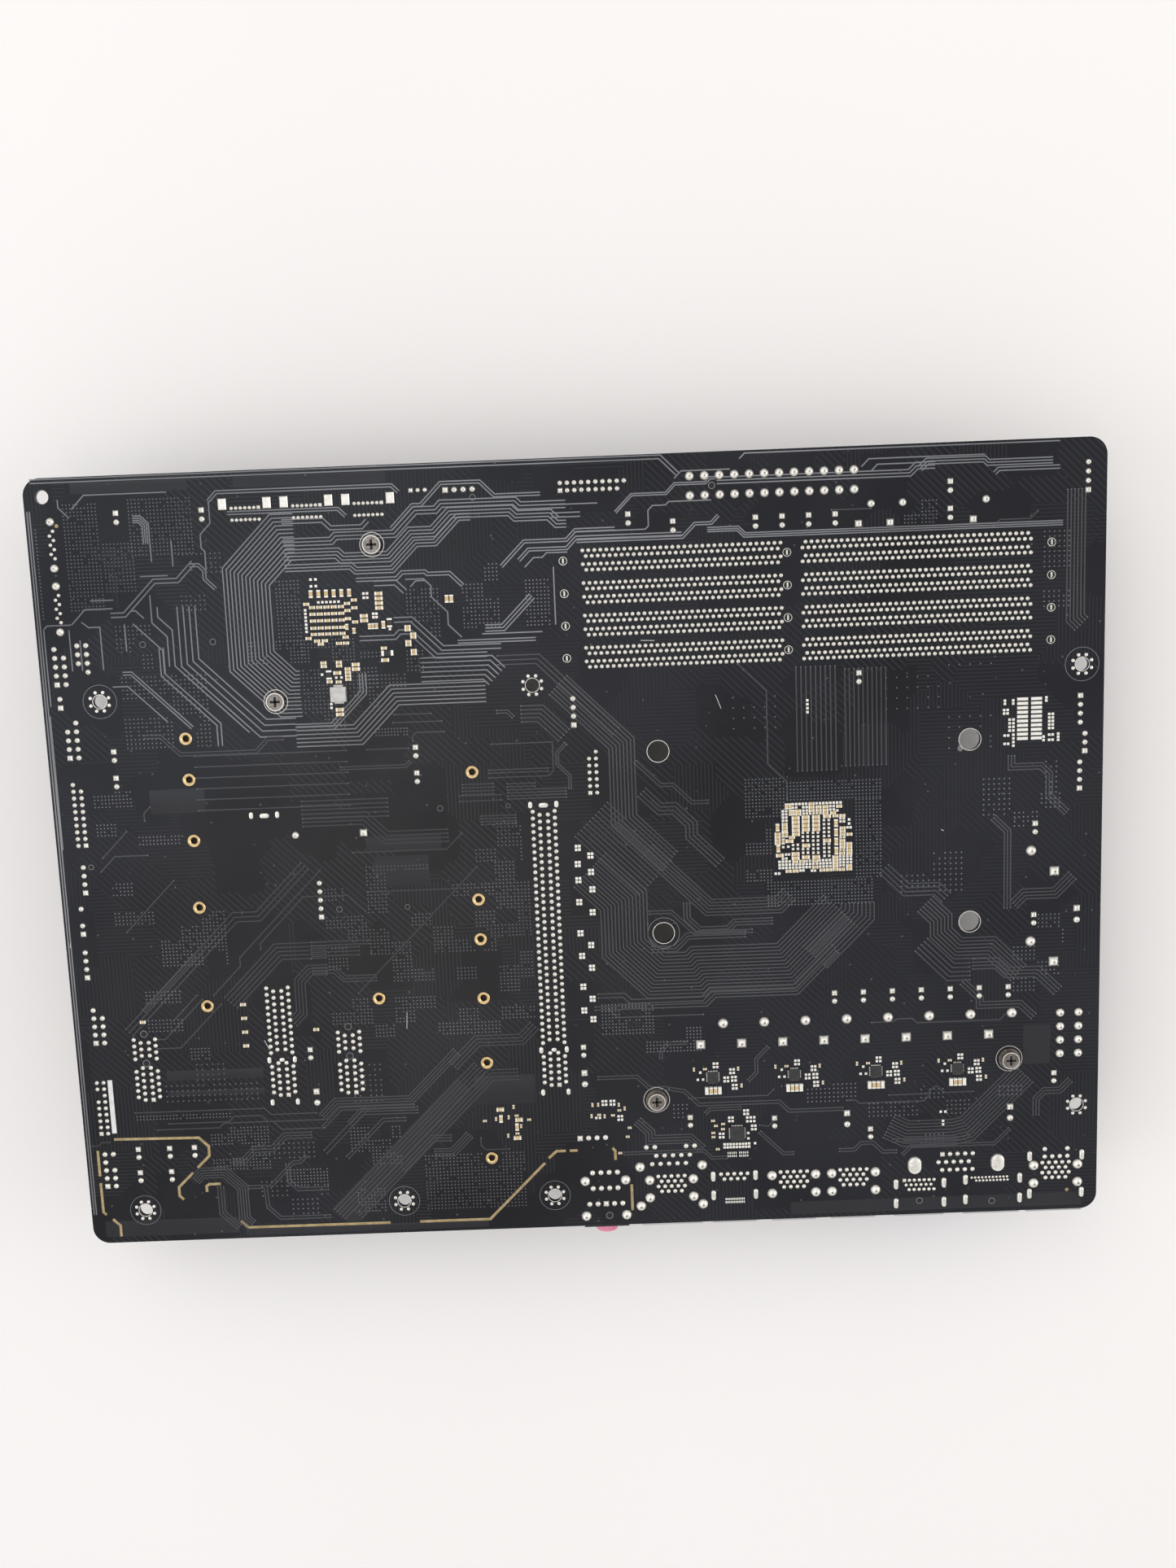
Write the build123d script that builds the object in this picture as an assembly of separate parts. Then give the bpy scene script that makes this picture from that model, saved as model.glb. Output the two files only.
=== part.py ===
"""Full-size computer mainboard, lying on its rear connectors with the solder side up.

X runs along the board, Y from the rear connectors to the front edge, Z up.
The origin is on the surface that the board lies on, below the middle of its box.
"""

import os

from build123d import *

# Board
board_length = 304.8
board_depth = 228.6
board_thickness = 1.6
board_corner_radius = 5.0
overrun = 1.0

# Sides of round forms that repeat or lie hidden
few_sides = 8
pivot_sides = 12
ring_sides = 20
joint_sides = 6

# Mounting holes, measured from the edges
mount_hole_radius = 1.98
mount_left_inset = 16.51
mount_rear_inset = 10.16
mount_column_pitch = 124.46
mount_extra_pitch = 78.74
mount_row_pitch = 154.94
mount_right_inset = 6.35
mount_right_rear_inset = 33.02
mount_right_pitch = 132.08
corner_hole_radius = 1.95
corner_hole_inset = 5.25

# Processor socket and the holes of its cooler
socket_x = 69.0
socket_y = 3.3
socket_width = 41.0
socket_depth = 41.0
socket_height = 3.6
socket_head_depth = 6.0
socket_head_height = 5.6
socket_head_wall = 3.0
socket_window = 12.0
cover_margin = 0.5
cover_thickness = 1.6
cover_gap = 0.1
cover_travel = 1.2
cover_skirt_thickness = 1.0
cover_skirt_height = 2.2
cover_skirt_gap = 0.15
lever_radius = 0.8
lever_clearance = 0.1
lever_side_gap = 2.0
lever_arm_length = 45.0
lever_handle_length = 4.5
cooler_pitch_x = 90.0
cooler_pitch_y = 54.0
cooler_hole_radius = 3.1
keyhole_radius = 1.05
keyhole_offset = 2.5

# Memory slots, with a fixed tower at one end and a latch at the other
memory_slot_count = 4
memory_x = 67.9
memory_first_y = 58.1
memory_pitch = 9.17
memory_length = 144.0
memory_width = 6.5
memory_height = 9.0
memory_tower_length = 8.0
memory_tower_height = 22.0
memory_cheek_height = 19.5
memory_card_inset = 5.1
memory_groove_width = 1.5
memory_groove_floor = 3.0
memory_key_width = 1.6
latch_width = 3.2
latch_side_clearance = 0.3
latch_thickness = 3.0
latch_pivot_inset = 2.5
latch_pivot_drop = 5.0
latch_pocket_floor = 2.2
latch_tip_drop = 20.8
latch_nose = 1.3
latch_nose_length = 3.0
latch_nose_rise = 2.6
latch_tab = 3.5
latch_tab_height = 2.4
pivot_radius = 0.9
pivot_clearance = 0.08
pivot_reach = 1.2

# Expansion slots, all ending on one line near the rear edge
slot_first_x = -9.8
slot_pitch = 20.32
slot_rear_y = -72.6
slot_long_length = 90.0
slot_short_length = 25.2
slot_width = 7.5
slot_height = 11.25
slot_wall = 1.6
slot_groove_width = 1.8
slot_groove_floor = 3.0
slot_key_from_rear = 15.2
slot_key_width = 1.9
second_slot_count = 4
short_slot_counts = (3, 6)
slot_cheek_length = 8.0
slot_cheek_height = 9.5
clip_width = 3.6
clip_thickness = 2.8
clip_pivot_from_end = 4.2
clip_pivot_drop = 4.0
clip_floor = 1.4
clip_tip_drop = 15.0
clip_nose = 2.2
clip_nose_height = 1.8
clip_tab = 3.6

# Card sockets and the brass posts that hold the cards' far ends
card_socket_width = 22.0
card_socket_depth = 8.6
card_socket_height = 4.2
card_socket_slot_width = 20.0
card_socket_slot_height = 1.0
card_socket_slot_length = 5.5
card_socket_slot_drop = 2.4
card_reference = 2.5
card_first_x = -30.0
card_first_y = 16.0
card_second_x = -112.1
card_second_y = 66.7
card_third_x = -61.0
card_third_y = -12.9
card_lengths = (30.0, 42.0, 60.0, 80.0, 110.0)
shield_post_from_socket = 10.3
post_radius = 1.85
post_bore_radius = 0.9
post_drop = 2.5
post_proud = 0.15
post_clearance = 0.05

# Voltage regulator along the rear of the socket
choke_count = 8
choke_first_x = 37.35
choke_pitch = 12.25
choke_y = -55.15
choke_side = 10.0
choke_height = 7.5
choke_edge = 0.8
choke_lead_x = 3.42
choke_lead_y = 3.15
side_choke_x = 135.3
side_choke_ys = (-6.25, -33.5)
memory_choke_xs = (84.3, 93.2, 116.65)
memory_choke_y = 95.55
memory_choke_side = 7.0
memory_choke_height = 5.0
memory_choke_lead_x = 1.8
memory_choke_lead_y = 2.7
stage_width = 5.0
stage_depth = 5.0
stage_height = 1.0
stage_y = -73.2
pad_thickness = 1.0
pad_margin = 1.0

# Heatsink of the regulator
sink_y = -70.0
sink_end_margin = 5.75
sink_depth = 17.0
sink_base = 5.0
sink_height = 24.0
sink_fin_count = 5
sink_fin_thickness = 1.6
sink_screw_xs = (20.3, 125.8)
sink_screw_ys = (-75.0, -66.1)
sink_screw_head_radius = 2.7
sink_screw_head_height = 1.7
sink_washer_radius = 3.2
sink_washer_thickness = 0.5
boss_radius = 3.1
screw_shank_radius = 1.4
screw_hole_radius = 1.6
screw_thread_clearance = 0.05
screw_grip = 3.5
recess_length = 2.9
recess_width = 0.7
recess_depth = 0.9

# Chipset and its heatsink
chipset_x = -69.5
chipset_y = 71.5
chipset_side = 22.0
chipset_height = 2.2
control_chip_height = 1.1
chipset_sink_width = 45.0
chipset_sink_depth = 51.0
chipset_sink_height = 11.0
chipset_sink_corner = 9.0
chipset_groove_count = 6
chipset_groove_width = 2.0
chipset_groove_depth = 5.0
chipset_screw_xs = (-55.0, -85.3)
chipset_screw_ys = (92.3, 48.9)
chipset_screw_head_radius = 2.75
chipset_screw_head_height = 1.4

# Power connectors
power_pitch = 4.2
power_row_pitch = 5.4
power_cavity = 3.5
power_cavity_depth = 10.0
power_wall = 0.65
power_height = 12.8
power_hook_width = 5.0
power_hook_length = 1.6
power_hook_height = 3.0
board_power_columns = 12
board_power_x = 58.3
board_power_y = 105.1
cpu_power_columns = 4
cpu_power_x = 143.6
cpu_power_y = -58.8

# Drive ports along the front and the left edge
drive_port_count = 3
drive_port_first_x = -90.2
drive_port_pitch = 17.4
drive_port_width = 16.2
drive_port_depth = 14.8
drive_port_height = 14.0
drive_port_front_gap = 0.5
drive_mouth_width = 14.4
drive_mouth_height = 4.8
drive_mouth_depth = 6.4
drive_tongue_width = 10.6
drive_tongue_thickness = 1.3
drive_tongue_length = 5.4
side_drive_x = -145.4
side_drive_ys = (95.6, 77.6)
side_drive_length = 16.4
side_drive_width = 6.4
side_drive_height = 9.0

# Pin headers
pin_pitch = 2.54
fine_pin_pitch = 2.0
header_base_height = 2.5
fan_pin_count = 4
fan_base_depth = 5.6
fan_base_height = 3.2
fan_wall_thickness = 1.0
fan_wall_height = 11.0
shroud_columns = 10
shroud_width = 8.0
shroud_margin = 4.0
shroud_height = 9.0
shroud_wall = 1.3
shroud_floor = 2.0

# Capacitor cans
small_can_radius = 3.1
small_can_height = 8.0
large_can_radius = 4.0
large_can_height = 11.5
row_can_count = 7
row_can_first_x = 74.0
row_can_pitch = 8.57
row_can_radius = 3.9
row_can_height = 9.5
row_can_y = -45.15

# Coin cell and its holder
cell_x = -72.4
cell_y = 9.7
cell_radius = 10.0
cell_thickness = 3.2
cell_clearance = 0.25
holder_wall = 1.6
holder_floor = 1.8
holder_lip = 1.4
holder_notch = 9.0

# Rear connectors
io_height = 31.5
io_overhang = 1.2
rear_overhang = 4.0
jack_count = 3
jack_width = 13.6
jack_depth = 19.0
jack_first_drop = 5.6
jack_pitch = 10.1
jack_barrel_radius = 3.3
jack_bore_radius = 1.8
jack_barrel_length = 14.0
jack_clearance = 0.05
usb_width = 13.4
usb_depth = 18.0
usb_height = 16.0
usb_first_drop = 4.3
usb_pitch = 7.4
usb_mouth_width = 12.2
usb_mouth_height = 5.0
usb_mouth_depth = 10.0
usb_tongue_width = 10.6
usb_tongue_thickness = 1.8
usb_tongue_length = 8.6
slim_mouth_width = 8.9
slim_mouth_height = 3.2
slim_mouth_depth = 7.0
slim_tongue_width = 6.6
slim_tongue_thickness = 0.8
slim_tongue_length = 5.6
lan_width = 18.4
lan_depth = 24.0
lan_height = 30.0
lan_drop = 22.4
lan_mouth_width = 11.8
lan_mouth_height = 8.4
lan_mouth_depth = 12.5
lan_notch_width = 6.0
lan_notch_height = 2.4
mouse_width = 16.8
mouse_depth = 23.0
mouse_drop = 23.3
mouse_mouth_radius = 4.75
mouse_plug_radius = 3.5
mouse_mouth_depth = 8.0
mouse_plug_length = 7.0
digital_height = 6.6
first_digital_width = 15.0
second_digital_width = 16.8
digital_depth = 13.0
digital_drop = 3.3
digital_mouth_height = 4.4
digital_mouth_depth = 9.0
digital_mouth_margin = 1.2
digital_corner = 1.6
digital_tongue_thickness = 1.2
digital_tongue_length = 7.4
digital_tongue_margin = 2.6
analog_width = 31.0
analog_depth = 22.0
analog_drop = 16.6
analog_height = 12.5
analog_foot_depth = 8.0
analog_collar_width = 17.0
analog_collar_height = 8.4
analog_collar_slant = 1.5
analog_screw_span = 25.0
analog_screw_radius = 2.6

# Chips and large parts on the solder side
driver_side = 3.3
driver_height = 0.85
driver_y = -68.5
driver_pitch = 24.35
driver_first_x = 37.3
driver_count = 4
controller_x = 44.2
controller_y = -86.4
controller_side = 4.4
controller_height = 0.9
back_choke_x = -67.0
back_choke_y = 50.4
back_choke_width = 4.4
back_choke_depth = 4.2
back_choke_height = 2.0
back_choke_end_width = 2.7
back_choke_end_depth = 5.4
back_choke_end_height = 0.8
back_cap_width = 2.1
back_cap_depth = 1.15
back_cap_height = 1.1
cpu_cap_columns = 3
cpu_cap_rows = 4
cpu_cap_x = 66.6
cpu_cap_y = 7.1
cpu_cap_pitch_x = 3.05
cpu_cap_pitch_y = 1.35
chipset_cap_columns = 5
chipset_cap_rows = 3
chipset_cap_x = -69.0
chipset_cap_y = 73.35
chipset_cap_pitch_x = 2.05
chipset_cap_pitch_y = 1.95
driver_cap_count = 4
driver_cap_pitch = 1.3
driver_cap_drop = 4.1

# Solder joints of the large leads
power_joint_radius = 1.15
power_joint_height = 1.3
choke_joint_radius = 1.4
choke_joint_height = 1.0
tab_radius = 1.5
tab_height = 0.7
oval_tab_width = 1.5
oval_tab_depth = 3.2
large_tab_width = 4.2
large_tab_depth = 5.5
drive_tab_width = 2.3
drive_tab_depth = 3.1

# Places of the smaller parts, as shares of the board's length and depth
small_can_shares = (
    (-0.4157, 0.4486), (-0.3363, 0.4484), (0.0577, 0.4232), (0.0990, 0.4125),
    (0.1755, 0.4134), (0.2001, 0.4134), (0.2247, 0.4134), (0.2492, 0.4134),
    (0.3556, 0.4475), (0.3556, 0.4147), (-0.4370, 0.1529), (-0.4370, 0.1192),
    (-0.1509, 0.1441), (-0.1509, 0.1113), (0.2697, 0.2165), (0.4364, 0.0162),
    (0.4357, -0.1030), (0.0991, -0.3594), (0.1821, -0.3646), (0.2766, -0.3843),
    (0.4567, -0.3163), (-0.0033, -0.2581), (-0.2707, -0.2478), (-0.4478, -0.3760),
    (-0.4167, -0.3760), (-0.3921, -0.3760), (-0.4478, -0.4084), (-0.4167, -0.4084),
)
large_can_shares = (
    (0.4770, -0.0986), (0.2536, -0.3637), (0.4140, -0.3629), (-0.0033, -0.2955), (-0.2674, -0.3073),
)
# Pin headers: place, columns, rows and the position left without a pin
header_shares = (
    (-0.4803, 0.2677, 2, 5, (1, 4)), (-0.4585, 0.2767, 2, 4, (0, 0)), (-0.4833, 0.2218, 1, 2, None),
    (-0.4746, 0.1745, 2, 5, (0, 4)), (-0.4820, -0.0599, 1, 4, (0, 2)), (-0.4820, -0.1179, 1, 4, None),
    (-0.4754, -0.2008, 2, 5, (1, 4)), (-0.4770, -0.3981, 2, 5, (1, 3)), (-0.2507, -0.0433, 1, 5, None),
    (0.4826, 0.1236, 1, 3, None),
)
fine_header_shares = (
    (-0.4793, -0.3121, 2, 9, (0, 6)), (0.0164, 0.1089, 2, 7, (0, 6)), (-0.1352, 0.4676, 3, 1, None),
)
# Fan headers: place, and the side that their wall is on
fan_along_shares = ((-0.0974, 0.4663), (0.0023, -0.3775))
fan_across_shares = ((0.4826, 0.4530), (0.4780, 0.1660), (0.4780, 0.0818), (-0.4760, -0.0057), (0.0, 0.1868))
shroud_along_shares = ((0.0256, 0.4648),)
shroud_across_shares = ((-0.4751, 0.0787),)
# Control chips: place, and side as a share of the chipset's side
chip_shares = (
    (-0.4050, 0.3750, 0.64), (-0.3850, -0.4500, 0.30), (0.0400, -0.3370, 0.30),
    (-0.3300, 0.1700, 0.26), (-0.1000, 0.3000, 0.26), (-0.3300, -0.1000, 0.34),
)
# Place of a memory slot's key from its middle, as a share of its length
memory_key_share = -0.03125
# Places of the rear connectors along the board
jack_x_share = 0.0131
lan_x_share = 0.0787
slim_x_share = 0.1411
usb_x_shares = (0.2001, 0.2593)
first_digital_x_share = 0.3250
second_digital_x_share = 0.3970
analog_x_share = 0.3609
mouse_x_share = 0.4593
# Solder tabs of each shell: shares of its width from the middle and of its depth from the rear
jack_tab_shares = ((0.45, 0.229), (0.45, 0.816))
lan_tab_shares = ((0.511, 0.290), (0.511, 0.808), (0.359, 0.396), (0.359, 0.629))
usb_tab_shares = ((0.492, 0.528), (0.492, 0.844))
slim_tab_shares = ((0.478, 0.533), (0.478, 0.867))
first_digital_tab_shares = ((0.483, 0.377), (0.483, 0.846))
second_digital_tab_shares = ((0.488, 0.415), (0.488, 0.900))
analog_tab_shares = ((0.403, 0.764),)
mouse_tab_shares = ((0.393, 0.426), (0.393, 0.670))
mouse_oval_shares = ((0.467, 0.283), (0.467, 0.800))

# Levels and edges that follow from the sizes above
board_low = io_height
board_top = board_low + board_thickness
left_edge = -board_length / 2
right_edge = board_length / 2
rear_edge = -board_depth / 2
front_edge = board_depth / 2
rear_face = rear_edge - io_overhang
latch_pivot_x = memory_x + memory_length / 2 - latch_pivot_inset
slot_long_front = slot_rear_y + slot_long_length
clip_pivot_y = slot_long_front + clip_pivot_from_end
lever_axis_y = socket_y + (socket_depth + socket_head_depth) / 2
lever_axis_drop = socket_head_height / 2
sink_drop = stage_height + pad_thickness
sink_x = sum(sink_screw_xs) / 2
sink_length = max(sink_screw_xs) - min(sink_screw_xs) + 2 * sink_end_margin


def spot(share_x, share_y):
    """Place on the board from its shares of length and depth."""
    return share_x * board_length, share_y * board_depth


def hang(width, depth, height, x, y, drop=0):
    """Block under the board, its upper face a drop below the board."""
    return Pos(x, y, board_low - drop - height / 2) * Box(width, depth, height)


def stand(width, depth, height, x, y, rise=0):
    """Block on the solder side of the board."""
    return Pos(x, y, board_top + rise + height / 2) * Box(width, depth, height)


def drum(radius, height, sides=few_sides):
    """Upright round form around its middle, with few sides because it repeats or lies hidden."""
    return extrude(RegularPolygon(radius, sides), amount=height / 2, both=True)


def can(radius, height, x, y):
    """Capacitor can under the board."""
    return Pos(x, y, board_low - height / 2) * drum(radius, height)


def joint(radius, height, x, y):
    """Solder joint that rises to a point over a lead."""
    base = RegularPolygon(radius, joint_sides)
    cone = loft([base.face(), Vertex(0, 0, height)])
    return Pos(x, y, board_top) * cone


def round_tab(x, y):
    """Low flat joint of a shell's round leg."""
    face = Pos(x, y, board_top) * RegularPolygon(tab_radius, joint_sides)
    return extrude(face, amount=tab_height)


def group(pieces):
    """Like pieces that share one node, each its own solid."""
    solids = []
    for piece in pieces:
        solids.extend(piece.solids())
    return Compound(solids)


def mount_places():
    """Middles of the seven mounting holes."""
    first_x = left_edge + mount_left_inset
    rear_y = rear_edge + mount_rear_inset
    right_x = right_edge - mount_right_inset
    right_y = rear_edge + mount_right_rear_inset
    return [
        (first_x, rear_y),
        (first_x + mount_extra_pitch, rear_y),
        (first_x + mount_column_pitch, rear_y),
        (first_x, rear_y + mount_row_pitch),
        (first_x + mount_column_pitch, rear_y + mount_row_pitch),
        (right_x, right_y),
        (right_x, right_y + mount_right_pitch),
    ]


def post_places():
    """Middles of the brass posts, one for each card length of the two long sockets."""
    places = []
    shortest = card_lengths[0]
    for length in card_lengths:
        places.append((card_first_x, card_first_y + card_reference - length))
        places.append((card_second_x, card_second_y + card_reference - length))
    places.append((card_third_x, card_third_y + card_reference - shortest))
    places.append((card_first_x, card_first_y + shield_post_from_socket))
    return places


def make_board():
    """Board with its mounting, cooler, post and screw holes."""
    face = RectangleRounded(board_length, board_depth, board_corner_radius)
    for x, y in mount_places():
        face -= Pos(x, y) * Circle(mount_hole_radius)
    face -= Pos(left_edge + corner_hole_inset, front_edge - corner_hole_inset) * Circle(corner_hole_radius)
    for side in (-1, 1):
        for row in (-1, 1):
            x = socket_x + side * cooler_pitch_x / 2
            y = socket_y + row * cooler_pitch_y / 2
            hole = Pos(x, y) * Circle(cooler_hole_radius)
            if side == row:
                notch_x = x - side * keyhole_offset
                notch_y = y - row * keyhole_offset
                hole += Pos(notch_x, notch_y) * Circle(keyhole_radius)
            face -= hole
    for x, y in post_places():
        face -= Pos(x, y) * RegularPolygon(post_radius + post_clearance, few_sides)
    for x, y in zip(sink_screw_xs + chipset_screw_xs, sink_screw_ys + chipset_screw_ys):
        face -= Pos(x, y) * RegularPolygon(screw_hole_radius, few_sides)
    return Pos(0, 0, board_low) * extrude(face, amount=board_thickness)


def make_socket_base():
    """Socket body with the head that the lever's axle turns in."""
    body = hang(socket_width, socket_depth, socket_height, socket_x, socket_y)
    head_y = socket_y + (socket_depth + socket_head_depth) / 2
    body += hang(socket_width, socket_head_depth, socket_head_height, socket_x, head_y)
    body -= hang(socket_window, socket_window, socket_height + overrun, socket_x, socket_y)
    bore_length = socket_width - socket_head_wall + overrun
    bore_x = socket_x + (socket_head_wall + overrun) / 2
    bore = Rot(0, 90, 0) * drum(lever_radius + lever_clearance, bore_length, pivot_sides)
    return body - Pos(bore_x, lever_axis_y, board_low - lever_axis_drop) * bore


def make_socket_cover():
    """Sliding plate over the socket, with a skirt down each side."""
    width = socket_width + 2 * (cover_skirt_gap + cover_skirt_thickness)
    depth = socket_depth - cover_travel - cover_margin
    y = socket_y - (socket_depth - depth) / 2 + cover_travel
    cover = hang(width, depth, cover_thickness, socket_x, y, socket_height + cover_gap)
    for side in (-1, 1):
        x = socket_x + side * (width - cover_skirt_thickness) / 2
        drop = socket_height + cover_gap - cover_skirt_height
        cover += hang(cover_skirt_thickness, depth, cover_skirt_height, x, y, drop)
    window_depth = cover_thickness + cover_gap + overrun
    return cover - hang(socket_window, socket_window, window_depth, socket_x, socket_y, socket_height)


def make_socket_lever():
    """Bent wire lever: its axle in the head, its arm beside the socket, its handle turned out."""
    start_x = socket_x - socket_width / 2 + socket_head_wall + lever_radius
    arm_x = socket_x + socket_width / 2 + lever_side_gap + lever_radius
    end_y = lever_axis_y - lever_arm_length
    path = Polyline(
        (start_x, lever_axis_y),
        (arm_x, lever_axis_y),
        (arm_x, end_y),
        (arm_x + lever_handle_length, end_y),
    )
    plane = Plane(origin=(start_x, lever_axis_y, 0), z_dir=(1, 0, 0))
    section = plane * Circle(lever_radius)
    wire = sweep(section, path=path, transition=Transition.RIGHT)
    return Pos(0, 0, board_low - lever_axis_drop) * wire


def make_memory_slot(y):
    """Memory slot: keyed groove, fixed tower, and two cheeks that hold the latch."""
    tower_offset = (memory_length - memory_tower_length) / 2
    slot = hang(memory_length, memory_width, memory_height, memory_x, y)
    slot += hang(memory_tower_length, memory_width, memory_tower_height, memory_x - tower_offset, y)
    slot += hang(memory_tower_length, memory_width, memory_cheek_height, memory_x + tower_offset, y)
    card_left = memory_x - memory_length / 2 + memory_card_inset
    card_right = memory_x + memory_length / 2 - memory_card_inset
    groove_height = memory_tower_height - memory_groove_floor + overrun
    key_x = memory_x + memory_key_share * memory_length
    key_left = key_x - memory_key_width / 2
    key_right = key_x + memory_key_width / 2
    for start, end in ((card_left, key_left), (key_right, card_right)):
        x = (start + end) / 2
        slot -= hang(end - start, memory_groove_width, groove_height, x, y, memory_groove_floor)
    pocket_width = latch_width + 2 * latch_side_clearance
    pocket_end = memory_x + memory_length / 2 + overrun
    pocket_height = memory_cheek_height - latch_pocket_floor + overrun
    pocket_x = (card_right + pocket_end) / 2
    slot -= hang(pocket_end - card_right, pocket_width, pocket_height, pocket_x, y, latch_pocket_floor)
    mouth_start = memory_x + memory_length / 2 - memory_tower_length - overrun
    mouth_height = memory_cheek_height - memory_height + overrun
    mouth_x = (mouth_start + pocket_end) / 2
    slot -= hang(pocket_end - mouth_start, pocket_width, mouth_height, mouth_x, y, memory_height)
    pivot = Rot(90, 0, 0) * drum(pivot_radius + pivot_clearance, memory_width + overrun, pivot_sides)
    return slot - Pos(latch_pivot_x, y, board_low - latch_pivot_drop) * pivot


def make_memory_latch(y):
    """Latch with a nose for the card's notch, a thumb tab, a round heel and two pivot studs."""
    inner = latch_pivot_x - latch_thickness / 2
    outer = latch_pivot_x + latch_thickness / 2
    pivot_z = board_low - latch_pivot_drop
    tip = board_low - latch_tip_drop
    nose_low = tip + latch_nose_rise
    outline = make_face(Polyline(
        (inner, pivot_z),
        (outer, pivot_z),
        (outer, tip + latch_tab_height + latch_tab),
        (outer + latch_tab, tip + latch_tab_height),
        (outer + latch_tab, tip),
        (outer - latch_thickness / 2, tip),
        (inner - latch_nose, nose_low),
        (inner - latch_nose, nose_low + latch_nose_length),
        (inner, nose_low + latch_nose_length + latch_nose),
        close=True,
    ))
    outline += Pos(latch_pivot_x, pivot_z) * Circle(latch_thickness / 2)
    bar = extrude(Pos(0, y, 0) * (Plane.XZ * outline), amount=latch_width / 2, both=True)
    stud_length = latch_width + 2 * (latch_side_clearance + pivot_reach)
    stud = Rot(90, 0, 0) * drum(pivot_radius, stud_length, pivot_sides)
    return bar + Pos(latch_pivot_x, y, pivot_z) * stud


def make_slot(x, length):
    """Expansion slot with a groove on each side of its key."""
    y = slot_rear_y + length / 2
    slot = hang(slot_width, length, slot_height, x, y)
    key_low = slot_rear_y + slot_key_from_rear - slot_key_width / 2
    key_high = slot_rear_y + slot_key_from_rear + slot_key_width / 2
    groove_height = slot_height - slot_groove_floor + overrun
    for start, end in ((slot_rear_y + slot_wall, key_low), (key_high, slot_rear_y + length - slot_wall)):
        middle = (start + end) / 2
        slot -= hang(slot_groove_width, end - start, groove_height, x, middle, slot_groove_floor)
    return slot


def make_long_slot(x):
    """Long slot whose front end has two cheeks for the card clip."""
    slot = make_slot(x, slot_long_length)
    cheek_y = slot_long_front + slot_cheek_length / 2
    cheeks = hang(slot_width, slot_cheek_length, slot_cheek_height, x, cheek_y)
    pocket_width = clip_width + 2 * latch_side_clearance
    pocket_depth = slot_cheek_length + overrun
    pocket_y = slot_long_front + pocket_depth / 2
    pocket_height = slot_cheek_height - clip_floor + overrun
    cheeks -= hang(pocket_width, pocket_depth, pocket_height, x, pocket_y, clip_floor)
    pivot = Rot(0, 90, 0) * drum(pivot_radius + pivot_clearance, slot_width + overrun, pivot_sides)
    cheeks -= Pos(x, clip_pivot_y, board_low - clip_pivot_drop) * pivot
    return slot + cheeks


def make_slot_clip(x):
    """Card clip with a nose over the slot's end, a thumb tab, a round heel and two pivot studs."""
    inner = clip_pivot_y - clip_thickness / 2
    outer = clip_pivot_y + clip_thickness / 2
    pivot_z = board_low - clip_pivot_drop
    tip = board_low - clip_tip_drop
    outline = make_face(Polyline(
        (inner, pivot_z),
        (outer, pivot_z),
        (outer, tip + clip_nose_height + clip_tab),
        (outer + clip_tab, tip + clip_nose_height),
        (outer + clip_tab, tip),
        (inner - clip_nose, tip),
        (inner - clip_nose, tip + clip_nose_height),
        (inner, tip + clip_nose_height),
        close=True,
    ))
    outline += Pos(clip_pivot_y, pivot_z) * Circle(clip_thickness / 2)
    bar = extrude(Pos(x, 0, 0) * (Plane.YZ * outline), amount=clip_width / 2, both=True)
    stud_length = clip_width + 2 * (latch_side_clearance + pivot_reach)
    stud = Rot(0, 90, 0) * drum(pivot_radius, stud_length, pivot_sides)
    return bar + Pos(x, clip_pivot_y, pivot_z) * stud


def make_card_socket(x, y):
    """Edge socket for a small card, open towards the rear."""
    socket = hang(card_socket_width, card_socket_depth, card_socket_height, x, y)
    slot_length = card_socket_slot_length + overrun
    slot_y = y - card_socket_depth / 2 - overrun + slot_length / 2
    return socket - hang(
        card_socket_slot_width, slot_length, card_socket_slot_height, x, slot_y, card_socket_slot_drop,
    )


def make_post(x, y):
    """Brass post through the board, bored for the card's screw."""
    length = post_proud + board_thickness + post_drop
    ring = RegularPolygon(post_radius, few_sides) - RegularPolygon(post_bore_radius, few_sides)
    return extrude(Pos(x, y, board_top + post_proud) * ring, amount=-length)


def make_screw(x, y, head_radius, head_height, washer_radius, washer_thickness, shank_length):
    """Screw from the solder side, with a cross recess and an optional washer under its head."""
    head_z = board_top + washer_thickness
    screw = Pos(x, y, head_z + head_height / 2) * drum(head_radius, head_height, ring_sides)
    if washer_thickness:
        washer = drum(washer_radius, washer_thickness, ring_sides)
        screw += Pos(x, y, board_top + washer_thickness / 2) * washer
    shank_height = shank_length + washer_thickness
    screw += Pos(x, y, head_z - shank_height / 2) * drum(screw_shank_radius, shank_height)
    recess_z = head_z + head_height - recess_depth / 2
    for turn in (0, 90):
        slot = Box(recess_length, recess_width, recess_depth)
        screw -= Pos(x, y, recess_z) * Rot(0, 0, turn) * slot
    return screw


def make_boss(x, y, height, depth):
    """Tapped boss of a heatsink, and the hole that goes through it into the base."""
    boss = Pos(x, y, board_low - height / 2) * drum(boss_radius, height)
    hole_length = height + depth
    hole = drum(screw_shank_radius + screw_thread_clearance, hole_length)
    return boss, Pos(x, y, board_low - hole_length / 2) * hole


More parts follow.
